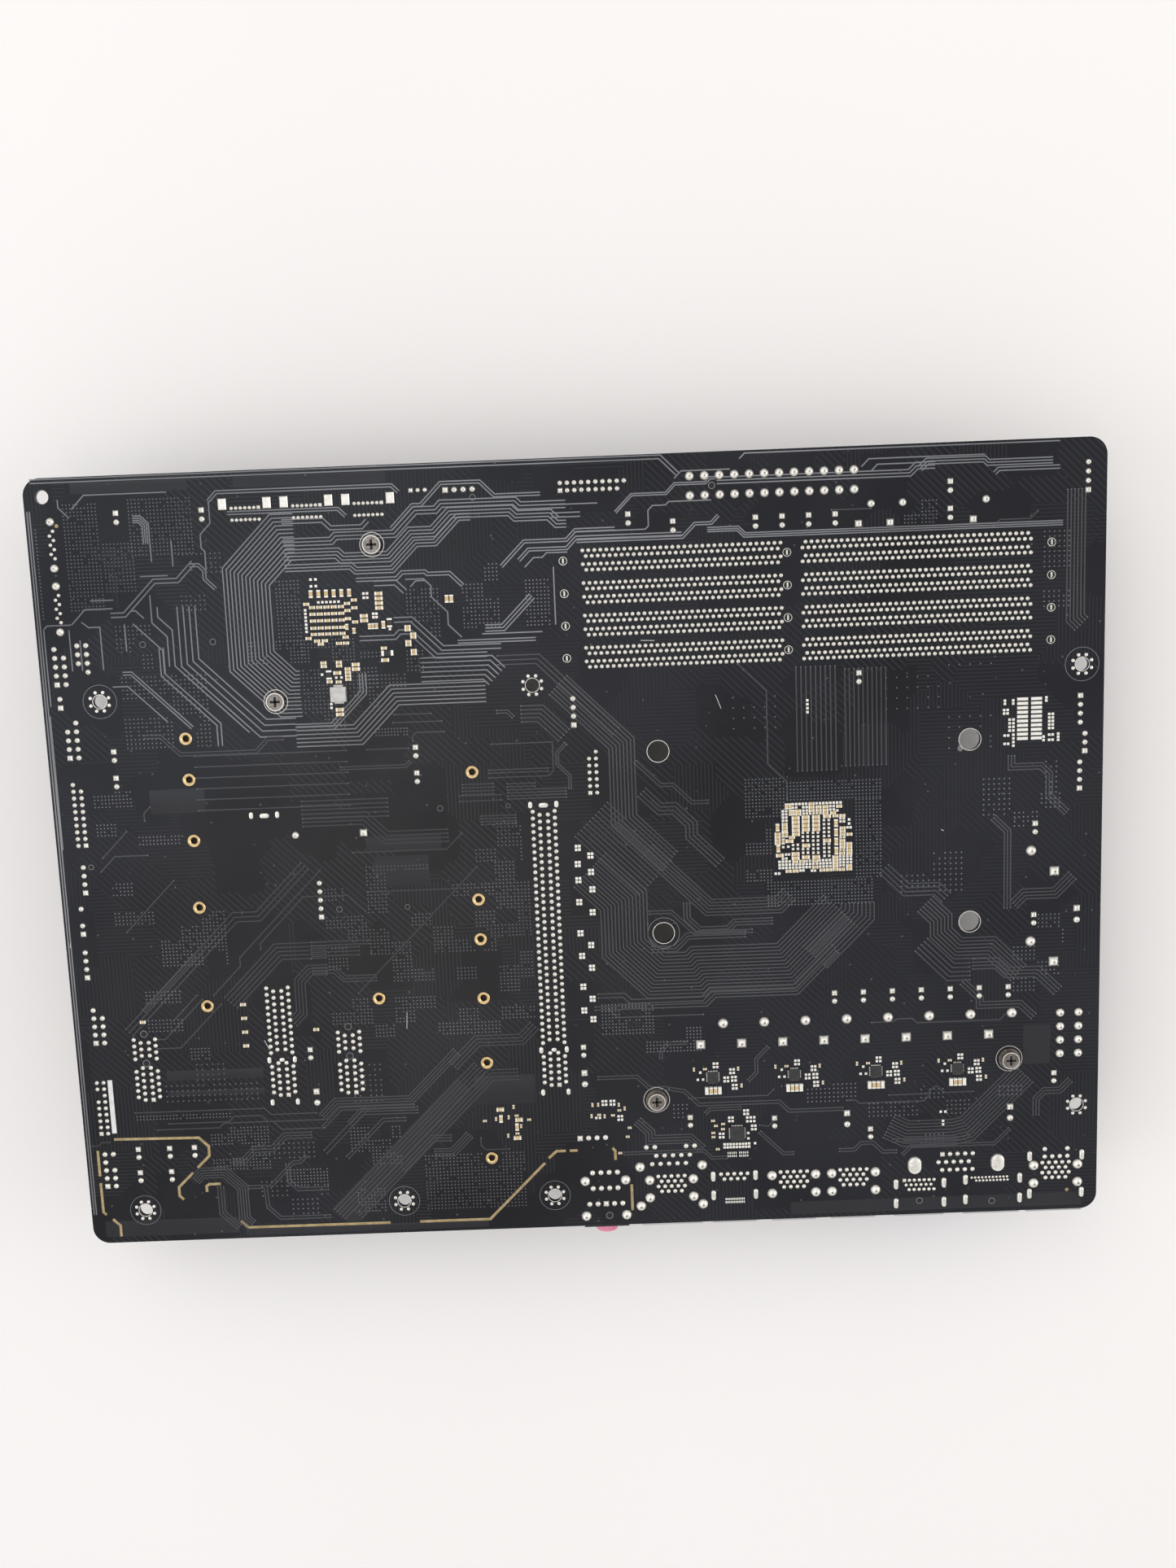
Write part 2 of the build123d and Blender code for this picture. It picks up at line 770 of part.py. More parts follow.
def make_regulator_sink():
    """Finned extrusion over the power stages, with a tapped boss at each end."""
    profile = Pos(sink_y, -sink_base / 2) * Rectangle(sink_depth, sink_base)
    fin_height = sink_height - sink_base
    fin_step = (sink_depth - sink_fin_thickness) / (sink_fin_count - 1)
    for index in range(sink_fin_count):
        y = sink_y - (sink_depth - sink_fin_thickness) / 2 + index * fin_step
        profile += Pos(y, -sink_base - fin_height / 2) * Rectangle(sink_fin_thickness, fin_height)
    bar = extrude(Plane.YZ * profile, amount=sink_length / 2, both=True)
    sink = Pos(sink_x, 0, board_low - sink_drop) * bar
    for x, y in zip(sink_screw_xs, sink_screw_ys):
        boss, hole = make_boss(x, y, sink_drop, screw_grip + screw_thread_clearance)
        sink = sink + boss - hole
    return sink


def make_chipset_sink():
    """Low grooved heatsink with two cut corners and two tapped bosses."""
    outline = Pos(chipset_x, chipset_y) * Rectangle(chipset_sink_width, chipset_sink_depth)
    corners = outline.vertices().sort_by(lambda corner: corner.X - corner.Y)
    outline = chamfer([corners[0], corners[-1]], chipset_sink_corner)
    sink = extrude(Pos(0, 0, board_low - chipset_height) * outline, amount=-chipset_sink_height)
    groove_step = chipset_sink_width / (chipset_groove_count + 1)
    groove_drop = chipset_height + chipset_sink_height - chipset_groove_depth
    for index in range(chipset_groove_count):
        x = chipset_x - chipset_sink_width / 2 + (index + 1) * groove_step
        sink -= hang(
            chipset_groove_width, chipset_sink_depth + overrun,
            chipset_groove_depth + overrun, x, chipset_y, groove_drop,
        )
    for x, y in zip(chipset_screw_xs, chipset_screw_ys):
        boss, hole = make_boss(x, y, chipset_height, screw_grip + screw_thread_clearance)
        sink = sink + boss - hole
    return sink


def make_choke(x, y, side, height):
    """Moulded choke with its far edges bevelled."""
    block = hang(side, side, height, x, y)
    return chamfer(block.faces().sort_by(Axis.Z)[0].edges(), choke_edge)


def choke_places():
    """Middle, side and height of each choke under the board."""
    places = []
    for index in range(choke_count):
        places.append((choke_first_x + index * choke_pitch, choke_y, choke_side, choke_height))
    for y in side_choke_ys:
        places.append((side_choke_x, y, choke_side, choke_height))
    for x in memory_choke_xs:
        places.append((x, memory_choke_y, memory_choke_side, memory_choke_height))
    return places


def choke_lead_places():
    """Places of the chokes' leads."""
    leads = []
    for x, y, side, height in choke_places():
        lead_x = choke_lead_x if side == choke_side else memory_choke_lead_x
        lead_y = choke_lead_y if side == choke_side else memory_choke_lead_y
        if x == side_choke_x:
            lead_x = -lead_x
        leads.append((x + lead_x, y + lead_y))
        leads.append((x - lead_x, y - lead_y))
    return leads


def power_places(columns, x, y, along_x):
    """Places of a power connector's two rows of pins."""
    places = []
    for index in range(columns):
        along = (index - (columns - 1) / 2) * power_pitch
        for side in (-1, 1):
            across = side * power_row_pitch / 2
            places.append((x + along, y + across) if along_x else (x + across, y + along))
    return places


def make_power_connector(columns, x, y, along_x):
    """Power connector with one square cavity for each pin and a hook on its outer side."""
    length = columns * power_pitch + 2 * power_wall
    width = power_row_pitch + power_pitch + 2 * power_wall
    block = (length, width) if along_x else (width, length)
    connector = hang(*block, power_height, x, y)
    cavities = Sketch()
    for pin_x, pin_y in power_places(columns, x, y, along_x):
        cavities += Pos(pin_x, pin_y) * Rectangle(power_cavity, power_cavity)
    cut = extrude(Pos(0, 0, board_low - power_height) * cavities, amount=power_cavity_depth)
    hook = (power_hook_width, power_hook_length) if along_x else (power_hook_length, power_hook_width)
    hook_offset = (width + power_hook_length) / 2
    hook_x = x if along_x else x - hook_offset
    hook_y = y - hook_offset if along_x else y
    return connector - cut + hang(*hook, power_hook_height, hook_x, hook_y, power_height - power_hook_height)


def make_drive_port(x):
    """Pair of drive ports, one over the other, open at the front edge."""
    y = front_edge - drive_port_front_gap - drive_port_depth / 2
    port = hang(drive_port_width, drive_port_depth, drive_port_height, x, y)
    mouth_y = y + drive_port_depth / 2 - drive_mouth_depth / 2
    tongue_y = y + drive_port_depth / 2 - drive_mouth_depth + drive_tongue_length / 2
    for level in (-1, 1):
        middle = drive_port_height / 2 + level * drive_port_height / 4
        mouth_drop = middle - drive_mouth_height / 2
        port -= hang(
            drive_mouth_width, drive_mouth_depth + overrun, drive_mouth_height,
            x, mouth_y + overrun / 2, mouth_drop,
        )
        tongue_drop = middle - drive_tongue_thickness / 2
        tongue = (drive_tongue_width, drive_tongue_length, drive_tongue_thickness)
        port += hang(*tongue, x, tongue_y, tongue_drop)
    return port


def make_side_drive_port(y):
    """Upright drive port near the left edge, open away from the board."""
    port = hang(side_drive_width, side_drive_length, side_drive_height, side_drive_x, y)
    mouth_drop = side_drive_height - drive_mouth_depth
    port -= hang(
        drive_mouth_height, drive_mouth_width, drive_mouth_depth + overrun, side_drive_x, y, mouth_drop,
    )
    return port + hang(
        drive_tongue_thickness, drive_tongue_width, drive_tongue_length, side_drive_x, y, mouth_drop,
    )


def header_places():
    """Middle, columns, rows, pitch and missing pin of each plain pin header."""
    places = []
    for table, pitch in ((header_shares, pin_pitch), (fine_header_shares, fine_pin_pitch)):
        for share_x, share_y, columns, rows, gap in table:
            x, y = spot(share_x, share_y)
            places.append((x, y, columns, rows, pitch, gap))
    return places


def make_header_base(x, y, columns, rows, pitch):
    """Plastic strip that holds a header's pins."""
    return hang(columns * pitch, rows * pitch, header_base_height, x, y)


def make_fan_header(x, y, along_x):
    """Fan header: a low base with a tall wall on one side."""
    length = fan_pin_count * pin_pitch
    offset = (fan_base_depth - fan_wall_thickness) / 2
    if along_x:
        base = hang(length, fan_base_depth, fan_base_height, x, y)
        return base + hang(length, fan_wall_thickness, fan_wall_height, x, y + offset)
    base = hang(fan_base_depth, length, fan_base_height, x, y)
    return base + hang(fan_wall_thickness, length, fan_wall_height, x + offset, y)


def make_shroud(x, y, along_x):
    """Shrouded header for a front cable."""
    length = shroud_columns * fine_pin_pitch + shroud_margin
    outer = (length, shroud_width) if along_x else (shroud_width, length)
    shroud = hang(*outer, shroud_height, x, y)
    inner = [size - 2 * shroud_wall for size in outer]
    return shroud - hang(*inner, shroud_height - shroud_floor + overrun, x, y, shroud_floor)


def make_cell_holder():
    """Round holder with a pocket for the coin cell and a notch to lift it out."""
    outer = cell_radius + cell_clearance + holder_wall
    height = holder_floor + cell_thickness - holder_lip
    holder = Pos(cell_x, cell_y, board_low - height / 2) * drum(outer, height, ring_sides)
    pocket = drum(cell_radius + cell_clearance, height, ring_sides)
    holder -= Pos(cell_x, cell_y, board_low - holder_floor - height / 2) * pocket
    return holder - hang(
        holder_notch, outer, height, cell_x, cell_y - cell_radius - holder_wall, holder_floor,
    )


def make_cell():
    """Coin cell that rests in its holder."""
    z = board_low - holder_floor - cell_thickness / 2
    return Pos(cell_x, cell_y, z) * drum(cell_radius, cell_thickness, ring_sides)


def make_shell(share_x, width, depth, height, drop=0):
    """Shell of a rear connector, its mouth a little past the rear edge."""
    return hang(width, depth, height, share_x * board_length, rear_face + depth / 2, drop)


def cut_mouth(shell, share_x, drop, mouth, tongue):
    """Cut a connector's mouth into its rear face and leave the tongue inside it."""
    x = share_x * board_length
    width, height, depth = mouth
    shell -= hang(width, depth + overrun, height, x, rear_face + (depth - overrun) / 2, drop - height / 2)
    width, thickness, length = tongue
    return shell + hang(width, length, thickness, x, rear_face + depth - length / 2, drop - thickness / 2)


def cut_usb_pair(shell, share_x):
    """Two ports, one over the other, next to the board."""
    mouth = (usb_mouth_width, usb_mouth_height, usb_mouth_depth)
    tongue = (usb_tongue_width, usb_tongue_thickness, usb_tongue_length)
    for level in (0, 1):
        shell = cut_mouth(shell, share_x, usb_first_drop + level * usb_pitch, mouth, tongue)
    return shell


def make_usb_port(share_x):
    """Shell with two ports."""
    return cut_usb_pair(make_shell(share_x, usb_width, usb_depth, usb_height), share_x)


def make_slim_port():
    """Shell with one slim port next to the board and one full port over it."""
    shell = make_shell(slim_x_share, usb_width, usb_depth, usb_height)
    slim_mouth = (slim_mouth_width, slim_mouth_height, slim_mouth_depth)
    slim_tongue = (slim_tongue_width, slim_tongue_thickness, slim_tongue_length)
    shell = cut_mouth(shell, slim_x_share, usb_first_drop, slim_mouth, slim_tongue)
    mouth = (usb_mouth_width, usb_mouth_height, usb_mouth_depth)
    tongue = (usb_tongue_width, usb_tongue_thickness, usb_tongue_length)
    return cut_mouth(shell, slim_x_share, usb_first_drop + usb_pitch, mouth, tongue)


def make_network_port():
    """Network port over two ports in one shell."""
    x = lan_x_share * board_length
    shell = cut_usb_pair(make_shell(lan_x_share, lan_width, lan_depth, lan_height), lan_x_share)
    mouth_y = rear_face + (lan_mouth_depth - overrun) / 2
    mouth_drop = lan_drop - lan_mouth_height / 2
    shell -= hang(lan_mouth_width, lan_mouth_depth + overrun, lan_mouth_height, x, mouth_y, mouth_drop)
    notch_drop = mouth_drop + lan_mouth_height
    return shell - hang(lan_notch_width, lan_mouth_depth + overrun, lan_notch_height, x, mouth_y, notch_drop)


def make_mouse_port():
    """Round mouse and keyboard port over two ports in one shell."""
    x = mouse_x_share * board_length
    shell = cut_usb_pair(make_shell(mouse_x_share, mouse_width, mouse_depth, io_height), mouse_x_share)
    z = board_low - mouse_drop
    mouth = Rot(90, 0, 0) * drum(mouse_mouth_radius, mouse_mouth_depth + overrun, ring_sides)
    shell -= Pos(x, rear_face + (mouse_mouth_depth - overrun) / 2, z) * mouth
    plug = Rot(90, 0, 0) * drum(mouse_plug_radius, mouse_plug_length, ring_sides)
    return shell + Pos(x, rear_face + mouse_mouth_depth - mouse_plug_length / 2, z) * plug


def make_digital_port(share_x, width):
    """Flat video port, its mouth bevelled on the side away from the board."""
    x = share_x * board_length
    shell = make_shell(share_x, width, digital_depth, digital_height)
    mouth_width = width - 2 * digital_mouth_margin
    mouth = Rectangle(mouth_width, digital_mouth_height)
    mouth = chamfer(mouth.vertices().group_by(Axis.Y)[0], digital_corner)
    start = (x, rear_face - overrun, board_low - digital_drop)
    plane = Plane(origin=start, x_dir=(-1, 0, 0), z_dir=(0, 1, 0))
    shell -= extrude(plane * mouth, amount=digital_mouth_depth + overrun)
    tongue = (width - 2 * digital_tongue_margin, digital_tongue_length, digital_tongue_thickness)
    tongue_y = rear_face + digital_mouth_depth - digital_tongue_length / 2
    tongue_drop = digital_drop - digital_tongue_thickness / 2
    return shell + hang(*tongue, x, tongue_y, tongue_drop)


def make_analog_port():
    """Video port raised over the two flat ones, with a slanted collar and two jack screws."""
    x = analog_x_share * board_length
    body_drop = analog_drop - analog_height / 2
    port = make_shell(analog_x_share, analog_width, analog_depth, analog_height, body_drop)
    foot_y = rear_face + analog_depth - analog_foot_depth / 2
    port += hang(analog_width, analog_foot_depth, body_drop, x, foot_y)
    half = analog_collar_width / 2
    rise = analog_collar_height / 2
    collar = make_face(Polyline(
        (-half, rise),
        (half, rise),
        (half - analog_collar_slant, -rise),
        (-half + analog_collar_slant, -rise),
        close=True,
    ))
    reach = rear_overhang - io_overhang
    plane = Plane(origin=(x, rear_face, board_low - analog_drop), x_dir=(1, 0, 0), z_dir=(0, -1, 0))
    port += extrude(plane * collar, amount=reach)
    for side in (-1, 1):
        screw = Pos(side * analog_screw_span / 2, 0) * RegularPolygon(analog_screw_radius, 6)
        port += extrude(plane * screw, amount=reach)
    return port


def jack_drop(level):
    """Drop of a sound jack's axis below the board."""
    return jack_first_drop + level * jack_pitch


def make_jack_housing():
    """Upright housing with one round hole right through it for each sound jack."""
    x = jack_x_share * board_length
    y = rear_face + jack_depth / 2
    housing = make_shell(jack_x_share, jack_width, jack_depth, io_height)
    hole = Rot(90, 0, 0) * drum(jack_barrel_radius + jack_clearance, jack_depth + overrun, ring_sides)
    for level in range(jack_count):
        housing -= Pos(x, y, board_low - jack_drop(level)) * hole
    return housing


def make_jack(level):
    """Barrel of one sound jack, bored for the plug."""
    y = rear_edge - rear_overhang + jack_barrel_length / 2
    barrel = drum(jack_barrel_radius, jack_barrel_length, ring_sides)
    barrel -= Cylinder(jack_bore_radius, jack_barrel_length)
    return Pos(jack_x_share * board_length, y, board_low - jack_drop(level)) * Rot(90, 0, 0) * barrel


def make_back_choke():
    """Small choke on the solder side, standing between its two end pads."""
    body = stand(back_choke_width, back_choke_depth, back_choke_height, back_choke_x, back_choke_y)
    return body + stand(
        back_choke_end_width, back_choke_end_depth, back_choke_end_height, back_choke_x, back_choke_y,
    )


def driver_x(index):
    """Middle of a driver chip along the board."""
    return driver_first_x + index * driver_pitch


def grid_places(x, y, columns, rows, pitch_x, pitch_y):
    """Places of a regular grid around its middle."""
    places = []
    for column in range(columns):
        for row in range(rows):
            place_x = x + (column - (columns - 1) / 2) * pitch_x
            place_y = y + (row - (rows - 1) / 2) * pitch_y
            places.append((place_x, place_y))
    return places


def make_back_caps():
    """Larger capacitors on the solder side, under the processor, the chipset and the drivers."""
    pieces = []
    fields = (
        grid_places(cpu_cap_x, cpu_cap_y, cpu_cap_columns, cpu_cap_rows, cpu_cap_pitch_x, cpu_cap_pitch_y),
        grid_places(
            chipset_cap_x, chipset_cap_y, chipset_cap_columns, chipset_cap_rows,
            chipset_cap_pitch_x, chipset_cap_pitch_y,
        ),
    )
    gap_share = 0.9
    for field, pitch in zip(fields, (cpu_cap_pitch_x, chipset_cap_pitch_x)):
        for x, y in field:
            width = min(back_cap_width, pitch * gap_share)
            pieces.append(stand(width, back_cap_depth, back_cap_height, x, y))
    for index in range(driver_count):
        middle = driver_x(index)
        for x, y in grid_places(middle, driver_y - driver_cap_drop, driver_cap_count, 1, driver_cap_pitch, 0):
            pieces.append(stand(back_cap_depth, back_cap_width, back_cap_height, x, y))
    return group(pieces)


def make_shell_tabs():
    """Joints of the rear connectors' legs, the drive ports' pads included."""
    pieces = []
    round_tables = [
        (jack_x_share, jack_width, jack_depth, jack_tab_shares),
        (lan_x_share, lan_width, lan_depth, lan_tab_shares),
        (mouse_x_share, mouse_width, mouse_depth, mouse_tab_shares),
    ]
    for share_x in usb_x_shares:
        round_tables.append((share_x, usb_width, usb_depth, usb_tab_shares))
    oval_tables = (
        (slim_x_share, usb_width, usb_depth, slim_tab_shares),
        (first_digital_x_share, first_digital_width, digital_depth, first_digital_tab_shares),
        (second_digital_x_share, second_digital_width, digital_depth, second_digital_tab_shares),
        (mouse_x_share, mouse_width, mouse_depth, mouse_oval_shares),
    )
    for share_x, width, depth, tab_shares in round_tables:
        for share, inset_share in tab_shares:
            for side in (-1, 1):
                x = share_x * board_length + side * share * width
                pieces.append(round_tab(x, rear_face + inset_share * depth))
    for share_x, width, depth, tab_shares in oval_tables:
        for share, inset_share in tab_shares:
            for side in (-1, 1):
                x = share_x * board_length + side * share * width
                y = rear_face + inset_share * depth
                pieces.append(stand(oval_tab_width, oval_tab_depth, tab_height, x, y))
    for share, inset_share in analog_tab_shares:
        for side in (-1, 1):
            x = analog_x_share * board_length + side * share * analog_width
            y = rear_face + inset_share * analog_depth
            pieces.append(stand(large_tab_width, large_tab_depth, tab_height, x, y))
    tab_y = front_edge - drive_port_front_gap - drive_port_depth / 2 - drive_tongue_thickness
    for index in range(drive_port_count):
        for side in (-1, 1):
            x = drive_port_first_x + index * drive_port_pitch
            x += side * (drive_port_width - drive_tab_width - drive_tongue_thickness) / 2
            pieces.append(stand(drive_tab_width, drive_tab_depth, tab_height, x, tab_y))
    return group(pieces)


def make_power_joints():
    """Joints of the power connectors' pins and the chokes' leads."""
    pieces = []
    for x, y in power_places(board_power_columns, board_power_x, board_power_y, True):
        pieces.append(joint(power_joint_radius, power_joint_height, x, y))
    for x, y in power_places(cpu_power_columns, cpu_power_x, cpu_power_y, False):
        pieces.append(joint(power_joint_radius, power_joint_height, x, y))
    for x, y in choke_lead_places():
        pieces.append(joint(choke_joint_radius, choke_joint_height, x, y))
    return group(pieces)


def make_cans():
    """All capacitor cans under the board."""
    pieces = []
    for share_x, share_y in small_can_shares:
        pieces.append(can(small_can_radius, small_can_height, *spot(share_x, share_y)))
    for share_x, share_y in large_can_shares:
        pieces.append(can(large_can_radius, large_can_height, *spot(share_x, share_y)))
    for index in range(row_can_count):
        pieces.append(can(row_can_radius, row_can_height, row_can_first_x + index * row_can_pitch, row_can_y))
    return group(pieces)


def make_control_chips():
    """Flat chips under the board."""
    pieces = []
    for share_x, share_y, side_share in chip_shares:
        side = side_share * chipset_side
        pieces.append(hang(side, side, control_chip_height, *spot(share_x, share_y)))
    return group(pieces)


def make_sink_screws():
    """The two screws that hold the regulator's heatsink."""
    length = board_thickness + sink_drop + screw_grip
    return group([
        make_screw(
            x, y, sink_screw_head_radius, sink_screw_head_height,
            sink_washer_radius, sink_washer_thickness, length,
        )
        for x, y in zip(sink_screw_xs, sink_screw_ys)
    ])


def make_chipset_screws():
    """The two screws that hold the chipset's heatsink."""
    length = board_thickness + chipset_height + screw_grip
    return group([
        make_screw(x, y, chipset_screw_head_radius, chipset_screw_head_height, 0, 0, length)
        for x, y in zip(chipset_screw_xs, chipset_screw_ys)
    ])


def make_stages():
    """Power stages in a row under the heatsink."""
    return group([
        hang(stage_width, stage_depth, stage_height, choke_first_x + index * choke_pitch, stage_y)
        for index in range(choke_count)
    ])


def make_thermal_pad():
    """Soft pad between the power stages and the heatsink."""
    length = (choke_count - 1) * choke_pitch + stage_width - 2 * pad_margin
    x = choke_first_x + (choke_count - 1) * choke_pitch / 2
    return hang(length, stage_depth - pad_margin, pad_thickness, x, stage_y, stage_height)


def make_drivers():
    """Driver chips on the solder side."""
    return group([
        stand(driver_side, driver_side, driver_height, driver_x(index), driver_y)
        for index in range(driver_count)
    ])


def make_fan_headers():
    """All fan headers."""
    pieces = [make_fan_header(*spot(*shares), True) for shares in fan_along_shares]
    pieces += [make_fan_header(*spot(*shares), False) for shares in fan_across_shares]
    return group(pieces)


def make_shrouds():
    """Both shrouded headers."""
    pieces = [make_shroud(*spot(*shares), True) for shares in shroud_along_shares]
    pieces += [make_shroud(*spot(*shares), False) for shares in shroud_across_shares]
    return group(pieces)


def make_nodes():
    """Every node of the board by name."""
    second_x = slot_first_x - second_slot_count * slot_pitch
    nodes = {
        "circuit_board": make_board(),
        "cpu_socket_base": make_socket_base(),
        "cpu_socket_cover": make_socket_cover(),
        "cpu_socket_lever": make_socket_lever(),
        "long_slot": make_long_slot(slot_first_x),
        "long_slot_clip": make_slot_clip(slot_first_x),
        "second_long_slot": make_long_slot(second_x),
        "second_long_slot_clip": make_slot_clip(second_x),
        "card_sockets": group([
            make_card_socket(card_first_x, card_first_y),
            make_card_socket(card_second_x, card_second_y),
            make_card_socket(card_third_x, card_third_y),
        ]),
        "card_posts": group([make_post(x, y) for x, y in post_places()]),
        "regulator_heatsink": make_regulator_sink(),
        "regulator_heatsink_screws": make_sink_screws(),
        "regulator_thermal_pad": make_thermal_pad(),
        "power_stages": make_stages(),
        "chipset": hang(chipset_side, chipset_side, chipset_height, chipset_x, chipset_y),
        "chipset_heatsink": make_chipset_sink(),
        "chipset_heatsink_screws": make_chipset_screws(),
        "board_power_connector": make_power_connector(
            board_power_columns, board_power_x, board_power_y, True,
        ),
        "cpu_power_connector": make_power_connector(cpu_power_columns, cpu_power_x, cpu_power_y, False),
        "power_chokes": group([make_choke(*place) for place in choke_places()]),
        "capacitor_cans": make_cans(),
        "driver_chips": make_drivers(),
        "regulator_controller": stand(
            controller_side, controller_side, controller_height, controller_x, controller_y,
        ),
        "back_choke": make_back_choke(),
        "back_capacitors": make_back_caps(),
        "front_drive_ports": group([
            make_drive_port(drive_port_first_x + index * drive_port_pitch)
            for index in range(drive_port_count)
        ]),
        "side_drive_ports": group([make_side_drive_port(y) for y in side_drive_ys]),
        "fan_headers": make_fan_headers(),
        "pin_header_bases": group([make_header_base(*place[:5]) for place in header_places()]),
        "shrouded_headers": make_shrouds(),
        "sound_jack_housing": make_jack_housing(),
        "microphone_jack": make_jack(0),
        "line_out_jack": make_jack(1),
        "line_in_jack": make_jack(2),
        "network_port": make_network_port(),
        "slim_usb_port": make_slim_port(),
        "first_digital_video_port": make_digital_port(first_digital_x_share, first_digital_width),
        "second_digital_video_port": make_digital_port(second_digital_x_share, second_digital_width),
        "analog_video_port": make_analog_port(),
        "mouse_port": make_mouse_port(),
        "coin_cell_holder": make_cell_holder(),
        "coin_cell": make_cell(),
        "control_chips": make_control_chips(),
        "power_joints": make_power_joints(),
        "shell_tab_joints": make_shell_tabs(),
    }
    for index, share_x in enumerate(usb_x_shares, start=1):
        nodes[f"usb_port_{index}"] = make_usb_port(share_x)
    for index, count in enumerate(short_slot_counts, start=1):
        nodes[f"short_slot_{index}"] = make_slot(slot_first_x - count * slot_pitch, slot_short_length)
    for index in range(memory_slot_count):
        y = memory_first_y + index * memory_pitch
        nodes[f"memory_slot_{index + 1}"] = make_memory_slot(y)
        nodes[f"memory_latch_{index + 1}"] = make_memory_latch(y)
    return nodes


def main():
    """Write one file for each node, with the origin below the middle of the whole box."""
    os.makedirs("parts", exist_ok=True)
    centre = Pos(0, rear_overhang / 2, 0)
    for name, shape in make_nodes().items():
        export_step(centre * shape, f"parts/{name}.step")


main()
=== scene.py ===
"""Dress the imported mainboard: solder, copper, small parts, finishes, floor, light and camera.

Places are millimetres on the board from its middle, X along it and Y towards the front edge.
Heights are millimetres out of the solder side, or out of the component side for pieces made under.
"""

import math
import random

import bmesh
import bpy
import numpy as np
from mathutils import Euler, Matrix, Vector


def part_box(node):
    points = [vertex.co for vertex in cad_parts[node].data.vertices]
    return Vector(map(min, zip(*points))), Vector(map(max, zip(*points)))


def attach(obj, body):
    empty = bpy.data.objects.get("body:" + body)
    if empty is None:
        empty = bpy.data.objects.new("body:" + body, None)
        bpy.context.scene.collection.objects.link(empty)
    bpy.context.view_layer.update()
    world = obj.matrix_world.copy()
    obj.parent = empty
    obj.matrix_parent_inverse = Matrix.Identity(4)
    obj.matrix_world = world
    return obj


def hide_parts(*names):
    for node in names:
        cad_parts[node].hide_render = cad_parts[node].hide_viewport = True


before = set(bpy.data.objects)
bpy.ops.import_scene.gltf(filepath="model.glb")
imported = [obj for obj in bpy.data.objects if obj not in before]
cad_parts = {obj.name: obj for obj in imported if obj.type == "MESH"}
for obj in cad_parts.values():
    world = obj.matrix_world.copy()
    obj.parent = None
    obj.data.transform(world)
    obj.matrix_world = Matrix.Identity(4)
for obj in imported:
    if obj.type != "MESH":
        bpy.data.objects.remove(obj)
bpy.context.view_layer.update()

MM = 0.001
board_low, board_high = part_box("circuit_board")
MIDDLE = (board_low + board_high) / 2
TOP = board_high.z
UNDER = board_low.z


def grid(x, y, columns, rows, pitch_x, pitch_y):
    """Places of a grid from its first corner."""
    return [(x + column * pitch_x, y + row * pitch_y) for column in range(columns) for row in range(rows)]


# Camera, fitted to the board's holes: millimetres from the middle of the solder side, degrees, pixels
CAMERA_PLACE = (6.3, 82.9, 406.7)
CAMERA_TURN = (-8.59, 0.07, -2.22)
FOCAL_PIXELS = 1743.3
IMAGE_HEIGHT = 1927
SENSOR = 36.0
CLIP_START = 0.01

# Copper under the solder mask
LINE_WIDTH = 0.36
LINE_HEIGHT = 0.045
LINE_SLOPE = 0.07
LAYER_STEP = 0.0004
PLANE_HEIGHT = 0.012
VIA_RADIUS = 0.23
VIA_HEIGHT = 0.06
VIA_CROWN_SHARE = 0.6
VIA_SIDES = 6

# Solder joints: shares of radius and height from the pad to the lead
JOINT_SHARES = ((1.0, 0.0), (0.97, 0.16), (0.78, 0.52), (0.52, 0.84), (0.3, 1.0))
JOINT_RISE_SHARE = 0.85
LEAD_RADIUS_SHARE = 0.26
LEAD_RISE = 0.06
JOINT_SIDES = 9
ROUND_SIDES = 24

# Tip of a lead: where it starts as a share of the joint's height, and its sides
LEAD_START_SHARE = 0.9
LEAD_SIDES = 6

# Ceramic parts: share of the length in each metal cap, bevel, and how far the caps stand proud
CAP_SHARE = 0.21
CAP_BEVEL = 0.08
CAP_PROUD = 0.04

# Edges sharper than this many degrees stay sharp
SHARP_ANGLE = 38.0

# Noise in materials: stretch of its values for roughness and for colour, and how much finer the grain is
NOISE_SPAN = (0.3, 0.7)
DRIFT_SPAN = (0.35, 0.65)
GRAIN_STEP = 3.0

# Solder mask: gloss, haze, smears, orange peel as strength and depth, and dust
MASK_GLOSS = 0.3
HAZE_SCALE = 16.0
HAZE_DETAIL = 8.0
HAZE_SPAN = (0.38, 0.66)
SMEAR_SCALE = 55.0
PEEL_SCALE = 700.0
PEEL_RELIEF = (0.08, 0.00004)
DUST_SCALE = 210.0
DUST_SHARE = 0.08
DUST_COLOUR = (0.12, 0.12, 0.125)

# Fine copper web: patches and waves a metre, a stripe's edges, and the edges of each choice between patches
WEB_PATCHES = 62.0
WEB_WAVES = 290.0
WEB_STRIPE = (0.72, 0.9)
WEB_ACROSS = (0.49, 0.51)
WEB_SLANTED = (0.54, 0.56)
WEB_SHOWN = (0.34, 0.36)
BLACK = (0.0, 0.0, 0.0)
FULL = (1.0, 1.0, 1.0)

# Memory joints: rows across a slot, and runs along it as first place, count and pitch
MEMORY_ROWS = (2.77, 1.15, -1.1, -2.7)
MEMORY_PITCH = 1.698
MEMORY_RUNS = (((4.4, 34), (67.5, 38)), ((5.3, 33), (66.6, 39)))
MEMORY_JOINT = 0.62
MEMORY_JOINT_SIDES = 8
MEMORY_LOCKS = (-1.2, 62.2, 137.0)
LOCK_RADIUS = 1.2
LOCK_EYE = 0.86 * LOCK_RADIUS
LOCK_SIDES = 16
LOCK_RIM_HEIGHT = 0.08

# Thin dark discs of painted shade that stand for the depth of a hole
DISC_HEIGHT = 0.03

# Blade in the lock: height, width and depth of its foot and its tip
LOCK_BLADE = ((0.02, 0.6, 1.7), (0.3, 0.45, 1.4))

